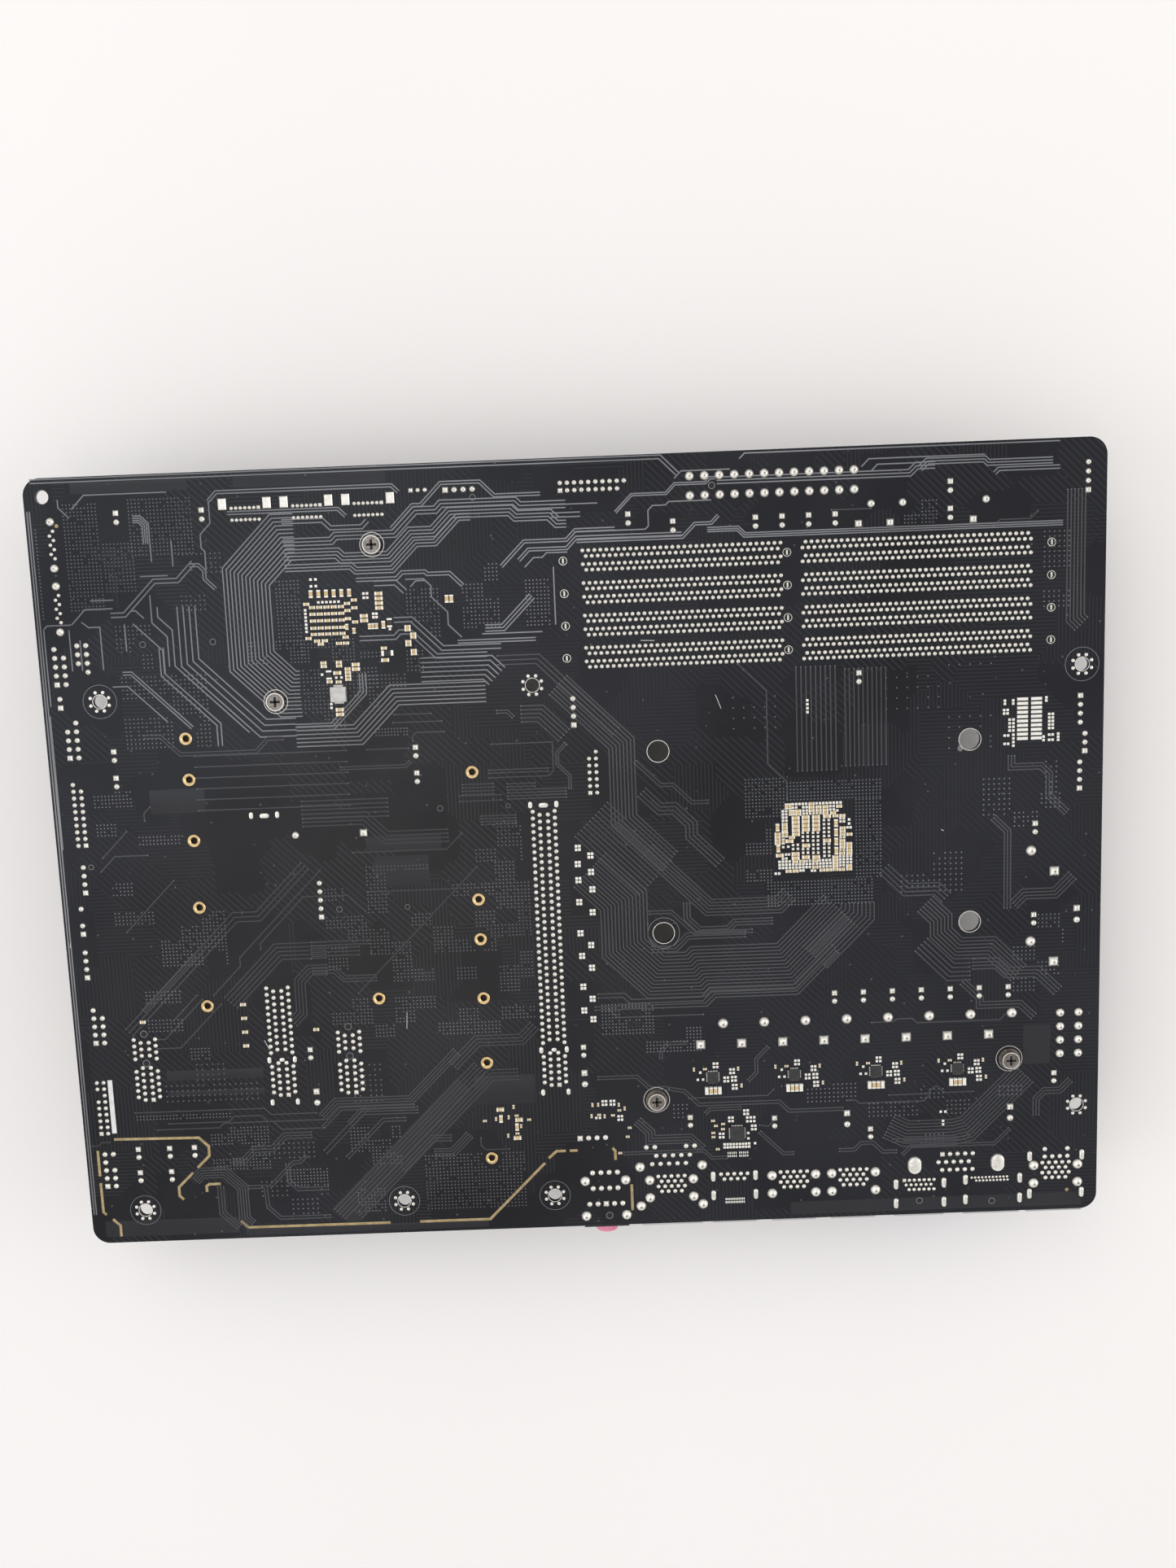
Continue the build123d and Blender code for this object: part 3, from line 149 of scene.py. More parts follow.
# Expansion joints: columns across a slot, and runs along it as first place and count, outer then inner
SLOT_COLUMNS = (-3.2, -1.2, 1.2, 3.2)
SLOT_PITCH = 2.0
SLOT_TAIL_RUNS = ((-60.3, 5), (-59.2, 6))
SLOT_HEADS = {
    "long_slot": ((14.0, 36), (13.0, 35)),
    "second_long_slot": ((-36.0, 11), (-37.0, 10)),
    "short_slot_1": ((-50.4, 4), (-51.4, 3)),
    "short_slot_2": ((-50.4, 4), (-51.4, 3)),
}
SLOT_JOINT = 0.68
SLOT_OVAL = (1.2, 2.0)
SLOT_OVAL_RISE = 0.35

# Oval joints of a long slot: rows at both sides, and those in the middle as place, width and depth
SLOT_OVAL_ROWS = (16.0, -58.2, -71.4)
SLOT_OVAL_REACH = 3.8
SLOT_MIDDLE_OVALS = ((15.8, 2.8, 1.4), (-58.2, 1.6, 1.2))

# Pegs of a short slot
SLOT_PEGS = (-48.7, -57.8)
SLOT_PEG_RADIUS = 1.1

# Crown of an oval joint: shares of rise, width and depth
OVAL_SHARES = ((0.0, 1.0, 1.0), (0.6, 0.9, 0.93), (1.0, 0.55, 0.7))

# Holes with a plastic peg: share of the radius inside the rim, height of the rim, and sides
PEG_EYE_SHARE = 0.82
PEG_RIM_HEIGHT = 0.06
PEG_SIDES = 16

# Rows of leads: first place, steps along X and Y, count, radius and the place with a square pad
PIN_ROWS = (
    (-33.5, 106.6, 2.54, 0, 4, 0.85, 0), (-3.1, -86.3, 2.54, 0, 4, 0.85, 0),
    (147.1, 107.4, 0, -2.57, 4, 0.8, 3), (145.7, 41.8, 0, -2.57, 4, 0.8, 0),
    (145.7, 22.5, 0, -2.54, 4, 0.8, 3), (-145.1, 2.5, 0, -2.54, 4, 0.8, 3),
    (0.0, 46.5, 0, -2.54, 4, 0.85, 3), (-1.2, 107.3, 2.0, 0, 10, 0.7, None),
    (-1.2, 105.2, 2.0, 0, 9, 0.7, 0), (-145.9, 9.0, 0, 2.0, 10, 0.7, None),
    (-143.7, 9.0, 0, 2.0, 9, 0.7, 0), (0.2, -97.4, 2.5, 0, 4, 0.85, None),
    (0.2, -102.4, 2.5, 0, 4, 0.85, None), (-1.0, -107.4, 2.5, 0, 5, 0.85, 2),
    (16.7, -89.9, 2.55, 0, 2, 0.8, None), (28.7, -89.9, 2.55, 0, 2, 0.8, None),
    (19.6, -92.7, 2.53, 0, 5, 0.75, None), (18.3, -95.3, 2.55, 0, 5, 0.75, None),
    (105.9, -95.5, 2.28, 0, 5, 0.72, 0), (104.7, -98.0, 2.28, 0, 5, 0.72, None),
    (105.8, -100.5, 2.28, 0, 5, 0.72, None), (136.7, -95.0, 6.8, 0, 2, 0.75, None),
    (136.7, -97.4, 2.27, 0, 4, 0.72, None), (94.4, -103.4, 1.49, 0, 7, 0.56, 0),
    (94.9, -104.9, 1.5, 0, 6, 0.52, None), (95.8, -106.4, 1.5, 0, 6, 0.56, None),
    (114.7, -103.3, 1.07, 0, 11, 0.4, None), (116.1, -104.3, 1.05, 0, 10, 0.4, None),
    (-94.0, 103.9, 1.28, 0, 7, 0.55, 6), (-94.0, 100.6, 1.28, 0, 7, 0.55, None),
    (-76.6, 103.9, 1.28, 0, 7, 0.55, 6), (-76.6, 100.6, 1.28, 0, 7, 0.55, None),
    (-59.3, 103.9, 1.28, 0, 7, 0.55, 6), (-59.3, 100.6, 1.28, 0, 7, 0.55, None),
    (-144.9, 99.5, 0, -2.56, 4, 0.55, None), (-145.9, 98.2, 0, -2.56, 3, 0.55, None),
    (-144.9, 81.5, 0, -2.56, 4, 0.55, None), (-145.9, 80.2, 0, -2.56, 3, 0.55, None),
    (-145.4, 102.1, 0, -13.0, 2, 1.2, None), (-145.4, 84.1, 0, -13.0, 2, 1.2, None),
    (-82.4, 9.7, 0, 0, 1, 1.1, None), (-62.5, 9.7, 0, 0, 1, 1.1, 0),
)

# Stacked ports share one pattern of leads: middle of each, and its rows as height, first place and count
PORT_MIDDLES = (24.0, 61.0, 79.0, 140.0)
PORT_ROWS = ((-99.3, -4.0, 5), (-100.9, -3.0, 4), (-102.5, -4.0, 5), (-104.1, -3.0, 4))
SLIM_ROWS = ((43.0, -99.3, -4.0, 5), (43.0, -100.9, -3.0, 4))
PORT_PITCH = 2.0
PORT_JOINT = 0.66

# Pin headers: middle, columns, rows, pitch and the place left without a pin
HEADERS = (
    (-146.4, 61.2, 2, 5, 2.54, (1, 4)), (-139.75, 63.25, 2, 4, 2.54, (0, 0)),
    (-147.3, 50.7, 1, 2, 2.54, None), (-144.66, 39.9, 2, 5, 2.54, (0, 4)),
    (-146.9, -13.7, 1, 4, 2.54, (0, 2)), (-146.9, -26.95, 1, 4, 2.54, None),
    (-144.9, -45.9, 2, 5, 2.54, (1, 4)), (-145.4, -91.0, 2, 5, 2.54, (1, 3)),
    (-76.4, -9.9, 1, 5, 2.54, None), (147.1, 28.25, 1, 3, 2.54, None), (-146.1, -71.35, 2, 9, 2.0, (0, 6)),
    (5.0, 24.9, 2, 7, 2.0, (0, 6)), (-41.2, 106.9, 3, 1, 2.0, None),
)
HEADER_JOINT_SHARE = 0.32

# Places of further holes with a peg: middle and radius
PEG_HOLES = (
    (-39.8, 16.0, 0.9), (-20.0, 16.0, 0.7), (-122.2, 66.7, 0.9), (-102.1, 66.7, 0.9), (-71.0, -12.9, 0.9),
    (-51.0, -12.9, 0.8), (-25.9, 104.3, 0.9), (-142.8, 2.5, 0.8), (41.4, 105.0, 1.0), (4.9, -111.2, 1.1),
    (98.9, -110.0, 1.0), (120.8, -110.9, 1.0),
)

# Joints of the power connectors
POWER_JOINT = 1.25
POWER_SIDES = 16

# Leads of a capacitor can, by whether it is large: reach from its middle and radius
CAN_LEADS = {False: (1.25, 0.85), True: (1.75, 1.0)}
LARGE_CAN = 7.9
CAN_SQUARE_SHARE = 1.9
CAN_JOINT_SIDES = 12

# Leads of a choke, by whether it stands in the row: reach along X and Y, and share of the size
CHOKE_LEADS = {False: (1.8, 2.7, 0.72), True: (3.42, 3.15, 1.0)}
ROW_CHOKE_WIDTH = 8.0
TURNED_CHOKE_X = 130.0
CHOKE_ROUND = 1.5
CHOKE_SQUARE = 2.75

# Joints of the shells' legs: what counts as wide, long or stretched, and the rise of each form
WIDE_TAB = 2.0
LONG_TAB = 5.0
STRETCHED_TAB = 1.4
LONG_TAB_RISE = 0.9
TAB_RISE = 0.6

# Flat tabs stand left of this place: rise and bevel
FLAT_TAB_X = -40.0
FLAT_TAB = (0.45, 0.2)
TAB_SIDES = 18

# Mounting holes: places, and the ring of small pads round each
MOUNT_HOLES = (
    (-135.89, -104.14), (-57.15, -104.14), (-11.43, -104.14), (-135.89, 50.8), (-11.43, 50.8),
    (146.05, 50.8), (146.05, -81.28),
)
MOUNT_RADIUS = 1.98
MOUNT_PAD = 0.52
MOUNT_PAD_RING = 2.85
MOUNT_PAD_COUNT = 8
MOUNT_PAD_SIDES = 12

# Profile of such a pad: share of its radius, and height
MOUNT_PAD_PROFILE = ((1.0, 0.0), (0.9, 0.14), (0.5, 0.22))
MOUNT_RIM = 0.16

# Holes for a processor cooler: places, radius, rim and sides, and the height of all rims
COOLER_HOLES = ((24.0, 30.3), (24.0, -23.7), (114.0, 30.3), (114.0, -23.7))
COOLER_RADIUS = 3.1
COOLER_RIM = 0.18
COOLER_SIDES = 40
RIM_HEIGHT = 0.05

# Brass posts: outer and bore radius, rise over the board, depth, bevels, and the dark disc of painted shade
# deep in the bore
POST_RADIUS = 1.85
POST_BORE = 0.95
POST_RISE = 0.35
POST_DEPTH = 4.1
POST_BEVEL = 0.12
POST_RIM_SHARE = 0.6
POST_MOUTH = 0.3
POST_SHADE = (-1.2, -1.1)
POST_SHADE_SIDES = 16
POST_PROFILE = (
    (POST_RADIUS, -POST_DEPTH), (POST_RADIUS, POST_RISE * POST_RIM_SHARE),
    (POST_RADIUS - POST_BEVEL, POST_RISE), (POST_BORE + POST_MOUTH, POST_RISE),
    (POST_BORE, POST_RISE - POST_MOUTH), (POST_BORE, -POST_DEPTH),
)

# Bent copper lines that run side by side, drawn in the brighter copper colour that carries a painted
# highlight: points of their middle line, count and pitch
LIT_LINES = (
    # Front edge, left edge and drive ports
    (((-150, 113.4), (27, 113.4), (31.8, 108.6)), 2, -1.0),
    (((-151.3, 105), (-151.3, -105)), 2, 0.7),
    (((49.4, 112.1), (50.8, 113.5), (139, 113.5)), 1, 1.0),
    (((-139, 105.4), (-135.3, 109.1), (-112, 109.1)), 1, 1.0),
    (((-142.8, 108), (-142.8, 105.9), (-140, 103)), 1, 1.0),
    (((-100.3, 106.2), (-98, 108.5), (-48.6, 108.5), (-46.8, 106.7)), 2, -0.8),
    (((-100.3, 106.2), (-100.3, 100), (-103.3, 97), (-103.3, 93.2), (-102.4, 92.3), (-102.4, 87)), 1, 1.0),
    (((-95.2, 102.6), (-64, 102.6), (-62, 100.6)), 2, -0.8),
    (((-80, 99.6), (-68.6, 99.6), (-66.4, 97.4), (-57.6, 97.4), (-56, 99)), 2, -1.1),
    # Nest round the chipset
    (((-77, 95.3), (-80.7, 95.3), (-91.3, 84.7), (-91.3, 60.7), (-81.5, 50.9), (-78, 50.9)), 13, 1.08),
    (((-109, 77), (-109, 61), (-89.4, 41.4), (-80, 41.4)), 4, 1.7),
    (((-119, 80.5), (-119, 72.7), (-115, 68.7), (-115, 60.2)), 1, 1.0),
    (((-117.2, 77), (-117.2, 74.3), (-113.4, 70.5), (-113.4, 60.2), (-93.6, 40.4)), 1, 1.0),
    (((-117, 65.5), (-117, 57.8), (-102.2, 43), (-102.2, 36.8)), 2, 1.2),
    (((-80, 38.5), (-62.2, 38.5), (-51.2, 49.5), (-25, 49.5)), 6, 1.15),
    (((-43, 56.4), (-24, 56.4), (-21.5, 53.9)), 6, 1.35),
    (((-50, 70.9), (-45, 70.9), (-36.5, 62.4), (-20, 62.4)), 2, -1.3),
    (((-60, 66), (-50, 66), (-48.6, 67.4), (-45.6, 67.4), (-38.4, 60.2), (-24, 60.2)), 2, -1.2),
    (((-80, 41.2), (-69.4, 41.2), (-60, 50.6), (-60, 56)), 3, 0.9),
    # Left end
    (((-124.4, 72.6), (-116.6, 64.8), (-116.6, 58.2)), 1, 1.0),
    (((-126.9, 72.5), (-126.9, 65)), 1, 1.0),
    (((-124.6, 76.3), (-123.4, 76.3), (-121.3, 74.2)), 1, 1.0),
    (((-136, 79.6), (-129.6, 79.6)), 1, 1.0),
    (((-142, 73), (-137.8, 77.2), (-130, 77.2)), 1, 1.0),
    (((-130.5, 75.3), (-126.6, 75.3), (-117.5, 84.4), (-110.8, 84.4), (-106, 89.2)), 2, 1.2),
    (((-121.2, 85.9), (-113.5, 85.9)), 1, 1.0),
    (((-107, 88.5), (-104.6, 88.5), (-103, 86.9), (-103, 84.5), (-100.2, 81.7)), 2, -0.8),
    (((-122, 101.9), (-120.2, 101.9), (-118.6, 100.3), (-118.6, 95)), 4, 0.6),
    (((-117.7, 97), (-117.7, 90)), 1, 1.0),
    (((-111.7, 95.5), (-111.7, 88.5)), 1, 1.0),
    (((-150.1, 72), (-150.1, 50)), 1, 1.0),
    (((-142.9, 71.5), (-142.9, 60)), 1, 1.0),
    (((-140, 68.5), (-140, 60)), 1, 1.0),
    (((-150.1, 72), (-149, 73), (-142, 73)), 1, 1.0),
    (((-139, 73.6), (-137.2, 72.1), (-134, 72.1), (-134, 60)), 1, 1.0),
    (((-131.7, 54.9), (-127.5, 54.9), (-117, 44.4)), 1, 1.0),
    (((-128.5, 58.6), (-126.2, 58.6), (-110, 42.4)), 2, 0.8),
    (((-150.6, 47), (-150.6, 8)), 1, 1.0),
    # Front middle
    (((-49.2, 96.6), (-43, 102.8), (-40.6, 102.8), (-34.8, 108.6), (-23.8, 108.6), (-19.8, 104.6),
      (-7, 104.6)), 2, -0.8),
    (((-80, 93.8), (-66.5, 93.8), (-65.2, 95.1), (-48.6, 95.1), (-42.4, 101.3), (-36.6, 101.3),
      (-35, 102.9), (-14.2, 102.9), (-12.8, 101.5), (0, 101.5)), 3, -1.0),
    (((-80, 90.3), (-65, 90.3), (-63.5, 88.8), (-50.5, 88.8), (-44, 95.3), (-37.6, 95.3), (-32.6, 100.3),
      (-15.6, 100.3), (-14, 98.7), (-4.6, 98.7), (-2.4, 96.5), (0, 96.5)), 4, -0.95),
    (((-80, 86.6), (-61.4, 86.6), (-60, 85.2), (-49.6, 85.2), (-42.6, 92.2), (-37.2, 92.2), (-30.4, 99),
      (-27, 99)), 3, -0.9),
    (((-60, 82.6), (-48.6, 82.6), (-47, 84.2), (-40.5, 84.2), (-39.8, 83.5), (-33.5, 83.5),
      (-30, 80)), 2, -0.9),
    (((-46, 82.2), (-41, 82.2), (-39, 80.2), (-39, 77), (-34.6, 72.6), (-34.6, 69), (-31, 65.4)), 1, 1.0),
    (((-55, 81.4), (-49, 81.4), (-46.5, 78.9)), 2, -1.3),
    (((-44.7, 80.2), (-43.2, 81.7), (-40.5, 81.7)), 1, 1.0),
    (((-24, 67.6), (-19, 67.6), (-10.5, 76.1)), 3, -0.9),
    (((-32, 64), (-10, 64)), 2, 0.8),
    (((-25, 66), (-8, 66)), 1, 1.0),
    (((-18.6, 84.9), (-12, 91.5), (0, 91.5), (2.6, 94.1), (13.6, 94.1)), 2, -0.8),
    (((-13.6, 86.4), (-10.8, 89.2), (0, 89.2), (2.8, 92), (32.5, 92)), 2, -0.8),
    (((-12, 84.4), (-9.5, 86.9), (-7, 86.9), (-5.8, 88.1), (0, 88.1)), 1, 1.0),
    (((-4, 84), (-4, 68)), 1, 1.0),
    # Main power connector
    (((14.2, 98.7), (18.8, 103.3), (28.5, 103.3), (31, 105.8), (39.6, 105.8), (41, 107.1),
      (42.4, 107.1)), 2, -0.6),
    (((43, 106.3), (97, 106.3), (99, 108.2), (104, 108.2)), 3, -0.9),
    (((31, 107.4), (32.9, 109.3), (46.5, 109.3)), 1, 1.0),
    (((2.4, 93.6), (22.4, 93.6), (23.3, 94.5), (23.3, 98.8), (24.6, 100.1), (28.3, 100.1), (29.2, 101),
      (41, 101)), 1, 1.0),
    (((-4, 101.4), (9, 101.4)), 1, 1.0),
    (((-4, 98.5), (4, 98.5)), 2, -1.2),
    (((3, 91), (32.8, 91), (36.4, 94.6), (41, 94.6), (43, 96.6)), 2, -0.7),
    (((40, 92.8), (48.5, 92.8), (50.4, 90.9), (140, 90.9)), 3, -0.6),
    (((83.6, 108.6), (85.6, 110.6), (118, 110.6)), 1, 1.0),
    (((86.4, 107.4), (88, 109), (100, 109)), 1, 1.0),
    (((100, 107.4), (102, 109.3), (118, 109.3), (119, 108.3), (137, 108.3)), 3, -0.8),
    (((121, 105.4), (122, 106.4), (139, 106.4)), 2, -0.9),
)

# Fainter copper lines, drawn in the darker copper colour that carries painted shade
SHADED_LINES = (
    # Front right corner
    (((143.9, 100), (143.9, 64), (145.6, 62.3)), 6, 1.0),
    (((86, 96.9), (75, 96.9)), 1, 1.0),
    (((120.6, 90.6), (122.4, 92.4), (131, 92.4), (133, 94.4)), 1, 1.0),
    # Middle
    (((-21, 58.3), (-9.6, 58.3), (12, 36.7)), 3, -1.3),
    (((-15, 42.6), (-9.5, 42.6), (-3, 36.1)), 5, 1.15),
    (((-22, 43.5), (-19, 43.5), (-17.4, 41.9)), 2, -0.8),
    (((-24, 34.2), (-6.4, 34.2), (-6.4, 25.8), (-7.8, 24.4), (-25, 24.4)), 1, 1.0),
    (((-25, 26.2), (-8, 26.2)), 2, -0.9),
    (((-20, 22), (-12, 22)), 2, -0.9),
    (((-20, 19.3), (-3, 19.3)), 4, 0.9),
    (((-33, 21.2), (-24, 21.2)), 4, 1.0),
    (((-34, 18.6), (-22, 18.6)), 2, -1.6),
    (((-28, 12), (-18, 12)), 4, 0.85),
    (((-52, 41.5), (-38, 41.5)), 1, 1.0),
    (((-51.5, 43.8), (-41, 43.8)), 1, 1.0),
    (((-60, 34), (-48, 34)), 1, 1.0),
    (((-68, 28.8), (-49, 28.8), (-47.8, 30)), 2, 0.8),
    (((-46.6, 36), (-46.6, 37.4), (-45.6, 38.4), (-37.5, 38.4)), 1, 1.0),
    (((-110, 26), (-66, 26)), 6, 3.2),
    (((-80, 17), (-55, 17)), 5, 1.3),
    (((-80, 14), (-62, 14), (-56, 8), (-38, 8)), 4, -1.2),
    (((-66, 3.9), (-38.5, 3.9), (-34, 8.4)), 1, 1.0),
    (((-124, 40.1), (-119.4, 40.1), (-114, 34.7), (-92, 34.7), (-88.4, 38.3), (-84, 38.3)), 2, -0.9),
    (((-126, 15.6), (-126, 17.8), (-124.2, 19.6)), 1, 1.0),
    (((-139.2, 5), (-131.6, 12.6)), 1, 1.0),
    (((-140, 1), (-135.6, 5.4), (-126, 5.4)), 1, 1.0),
    (((-2.6, 33.6), (-5.2, 31), (-5.2, 27.6), (-1.8, 24.2), (-1.8, 20.5)), 2, 0.7),
    # Memory and processor
    (((-4, 50.5), (13.5, 33), (13.5, 10.5), (26, -2)), 8, 1.05),
    (((4, 11), (22, -7)), 12, -1.25),
    (((17.4, 27.4), (24.4, 20.4), (28, 20.4), (33.4, 15), (38, 15)), 2, 0.9),
    (((19, 18.4), (24, 13.4), (28.2, 13.4), (33, 8.6), (33, 5), (41, -3)), 4, 1.1),
    (((47.6, 54.6), (55.6, 46.6), (55.6, 25.4), (61, 20), (61, 15)), 1, 1.0),
    (((69.8, 53), (69.8, 23)), 9, 1.4),
    (((84, 52), (84, 24)), 10, 1.3),
    (((3, -4), (12.5, -13.5), (12.5, -27.6), (21.5, -36.6), (33, -36.6), (34.6, -35), (60, -35),
      (76, -19)), 14, 1.05),
    (((4, -42.2), (11.6, -42.2), (13.6, -44.2), (34.8, -44.2), (37.4, -41.6), (62, -41.6),
      (74, -29.6)), 2, 1.2),
    (((3, -46), (36, -46), (38.6, -43.4), (63, -43.4), (75, -31.4)), 2, -1.0),
    (((7, -46.4), (9.6, -49), (35, -49)), 1, 1.0),
    (((20, 1), (37.5, -16.5), (58, -16.5), (61, -13.5)), 6, 0.95),
    (((31, -15), (31, -19.6), (34.6, -23.2), (43, -23.2), (45, -21.2), (56, -21.2)), 3, 0.9),
    (((20, -17.4), (26.4, -17.4), (33, -24), (50, -24)), 2, 0.9),
    (((20.4, -28.6), (27.3, -28.6), (31, -24.9), (48, -24.9)), 3, -0.9),
    (((68.6, -32.6), (81.2, -20), (81.2, -17)), 9, 1.2),
    (((99.8, -30.2), (108.4, -38.8), (114, -38.8)), 5, 1.3),
    (((89, -7), (95.4, -13.4), (104.4, -13.4), (107, -16)), 4, 1.2),
    (((101.1, -18), (105.6, -22.5), (105.6, -26.7), (110.6, -31.7), (120.3, -31.7),
      (128.3, -39.7)), 7, 1.05),
    (((115, -36.6), (122, -36.6), (125, -39.6), (134, -39.6), (140, -45.6)), 4, 1.05),
    (((112, -42), (117, -47), (117, -49.3), (129, -49.3), (133, -53.3)), 3, 1.0),
    (((125, -20), (125, 3), (121, 7)), 3, -0.9),
    (((127, -19), (130, -16), (139, -16), (144, -11)), 4, -1.0),
    (((126, 25), (126, 21.8), (134.6, 21.8), (137, 19.4), (137, 13), (142, 8)), 3, 0.9),
    # Expansion slots
    (((-80.5, 0.4), (-95, -14.1), (-102, -14.1), (-136, -48.1)), 3, 1.4),
    (((-76, -1), (-101.4, -26.4), (-101.4, -29), (-110, -37.6)), 1, 1.0),
    (((-76, -8.7), (-81.4, -8.7), (-95, -22.3), (-95, -24)), 1, 1.0),
    (((-76, -25), (-90, -25), (-105, -40)), 5, 1.2),
    (((-131, -41.5), (-114.8, -25.3)), 2, 0.9),
    (((-115, -37.4), (-122.5, -44.9)), 1, 1.0),
    (((-113.6, -38.8), (-125.4, -50.6), (-127.6, -50.6)), 1, 1.0),
    (((-108, -40.4), (-121, -53.4), (-128, -53.4)), 1, 1.0),
    (((-134, -17.4), (-119, -2.4)), 1, 1.0),
    (((-76, -31), (-81, -31), (-84.2, -34.2), (-84.2, -44), (-87, -46.8)), 4, 1.0),
    (((-80, -23), (-63, -23)), 2, -1.1),
    (((-80, -25.6), (-66, -25.6)), 3, -1.2),
    (((-80, -31.2), (-73.6, -31.2), (-70.8, -34), (-61.5, -34)), 3, -0.9),
    (((-62, -8), (-36, -8)), 1, 1.0),
    (((-80, -8.7), (-68.4, -8.7), (-63.4, -13.7)), 1, 1.0),
    (((-67, -38.6), (-30, -1.6)), 1, 1.0),
    (((-40, -62), (-32.6, -54.6), (-19.4, -54.6), (-15.4, -50.6)), 4, 1.05),
    # Rear left
    (((-136.4, -73.2), (-97.6, -73.2), (-95.6, -75.2), (-82, -75.2)), 1, 1.0),
    (((-126.6, -77), (-108.4, -77), (-106.8, -75.4), (-98.6, -75.4), (-96.6, -77.4), (-80, -77.4)), 1, 1.0),
    (((-130, -78.8), (-111.4, -78.8), (-110, -77.4), (-95.2, -77.4), (-92.6, -80), (-80, -80)), 1, 1.0),
    (((-145, -82.2), (-147.4, -82.2), (-148.4, -83.2), (-150.2, -83.2)), 1, 1.0),
    (((-108, -89.6), (-105, -89.6), (-101.5, -86.1), (-96, -86.1), (-92, -82.1), (-84, -82.1)), 3, 0.9),
    (((-97.6, -98.2), (-90, -90.6), (-88, -90.6), (-86, -88.6)), 2, 0.9),
    (((-91.8, -91), (-91.8, -96.4), (-89, -99.2), (-80, -99.2)), 2, 1.0),
    (((-120, -95), (-118, -93), (-111, -93), (-106, -98), (-106, -108), (-104, -110)), 5, 0.8),
    (((-112.6, -97.6), (-112.6, -106), (-108, -110.6)), 3, 0.9),
    (((-104, -98), (-99, -98), (-98.6, -104.6), (-95, -108.2), (-80, -108.2)), 2, -0.9),
    (((-80, -76.4), (-75.8, -72.2), (-53.4, -72.2), (-39, -57.8)), 4, -0.85),
    (((-80, -79.6), (-74.6, -74.2), (-69, -74.2), (-52.6, -74.2)), 2, -0.9),
    (((-72, -79), (-68.4, -75.4), (-51.6, -75.4)), 3, -0.95),
    (((-73.4, -89.6), (-62, -78.2), (-55.4, -78.2)), 2, -1.0),
    (((-80, -87.6), (-66.6, -74.2)), 2, 1.3),
    (((-77, -107.6), (-32.5, -63.1)), 5, 1.1),
    (((-71.4, -107.8), (-29, -65.4), (-21, -65.4)), 4, 1.1),
    (((-57, -94), (-47.6, -84.6), (-42, -84.6)), 3, -0.9),
    (((-47, -89.2), (-41.6, -89.2), (-36.4, -84)), 4, -0.8),
    (((-33, -85), (-33, -87.4), (-31.6, -88.8), (-24.6, -88.8)), 1, 1.0),
    # Rear right
    (((3, -67.6), (14.6, -67.6), (18.4, -71.4), (22.6, -71.4), (28.6, -72.6), (33, -77), (57, -77),
      (60, -80), (76, -80)), 2, 0.9),
    (((30, -74.9), (53.6, -74.9), (55.4, -73.1)), 1, 1.0),
    (((14.4, -81.6), (18, -85.2), (18, -87.6), (30, -87.6), (33.4, -91)), 4, 0.9),
    (((10, -91.6), (34, -91.6), (36.4, -94), (41, -94)), 2, -0.8),
    (((35, -79.8), (36.2, -78.6), (45.4, -78.6)), 2, 0.8),
    (((51, -84.2), (53.6, -84.6), (56, -82.2)), 1, 1.0),
    (((51, -86.4), (58, -93.4), (61, -93.4)), 2, 0.8),
    (((90, -76.2), (101.4, -76.2), (103.6, -74), (104.4, -74), (106.4, -76), (115, -76)), 1, 1.0),
    (((78, -77.4), (80, -77.4), (81, -78.4), (100.4, -78.4), (102, -76.8)), 1, 1.0),
    (((90, -86), (95, -88.6), (109, -88.6), (113.4, -87.6), (130, -71)), 9, 1.0),
    (((91, -90.6), (112.6, -90.6), (117, -86.2)), 2, 0.9),
    (((75, -93), (79.4, -93), (81.4, -91), (85, -91), (88, -94), (92, -94)), 2, -0.9),
    (((94, -95), (96.4, -92.6), (121.6, -92.6), (126, -88.2)), 2, 0.8),
    (((134, -84), (134, -79), (136.4, -76.6), (141, -76.6), (144, -73.6)), 3, -0.9),
    (((85, -53.4), (91, -53.4), (92.6, -52.6), (97, -52.6), (98.4, -54), (123, -54), (125, -52)), 1, 1.0),
    (((22, -62), (22, -60), (24.4, -57.6), (30, -57.6)), 2, 0.8),
    (((48, -70), (50.4, -67.6), (50.4, -63.4), (54, -59.8)), 2, 0.8),
)

# Wide planes under the mask: points of the middle line and width
PLANES = (
    (((-76, -109), (-36, -69)), 9.0),
    (((-148.6, -109.9), (-108, -109.9)), 5.0),
    (((-106, -112.3), (-32, -112.3)), 2.2),
    (((-139, 111), (-106, 111)), 3.0),
    (((-93, 111), (-50, 111)), 3.0),
    (((-62, 6.3), (-40, 6.3)), 4.4),
    (((-60, -2), (-44, -2)), 9.0),
    (((-126, -62), (-97, -62)), 3.0),
    (((-126, -67.6), (-97, -67.6)), 1.6),
    (((-34, -70), (-16, -70)), 9.0),
    (((-124, 21), (-108, 21)), 7.0),
    (((130, -62), (138, -62)), 12.0),
    (((60, -111), (148, -111)), 4.0),
)

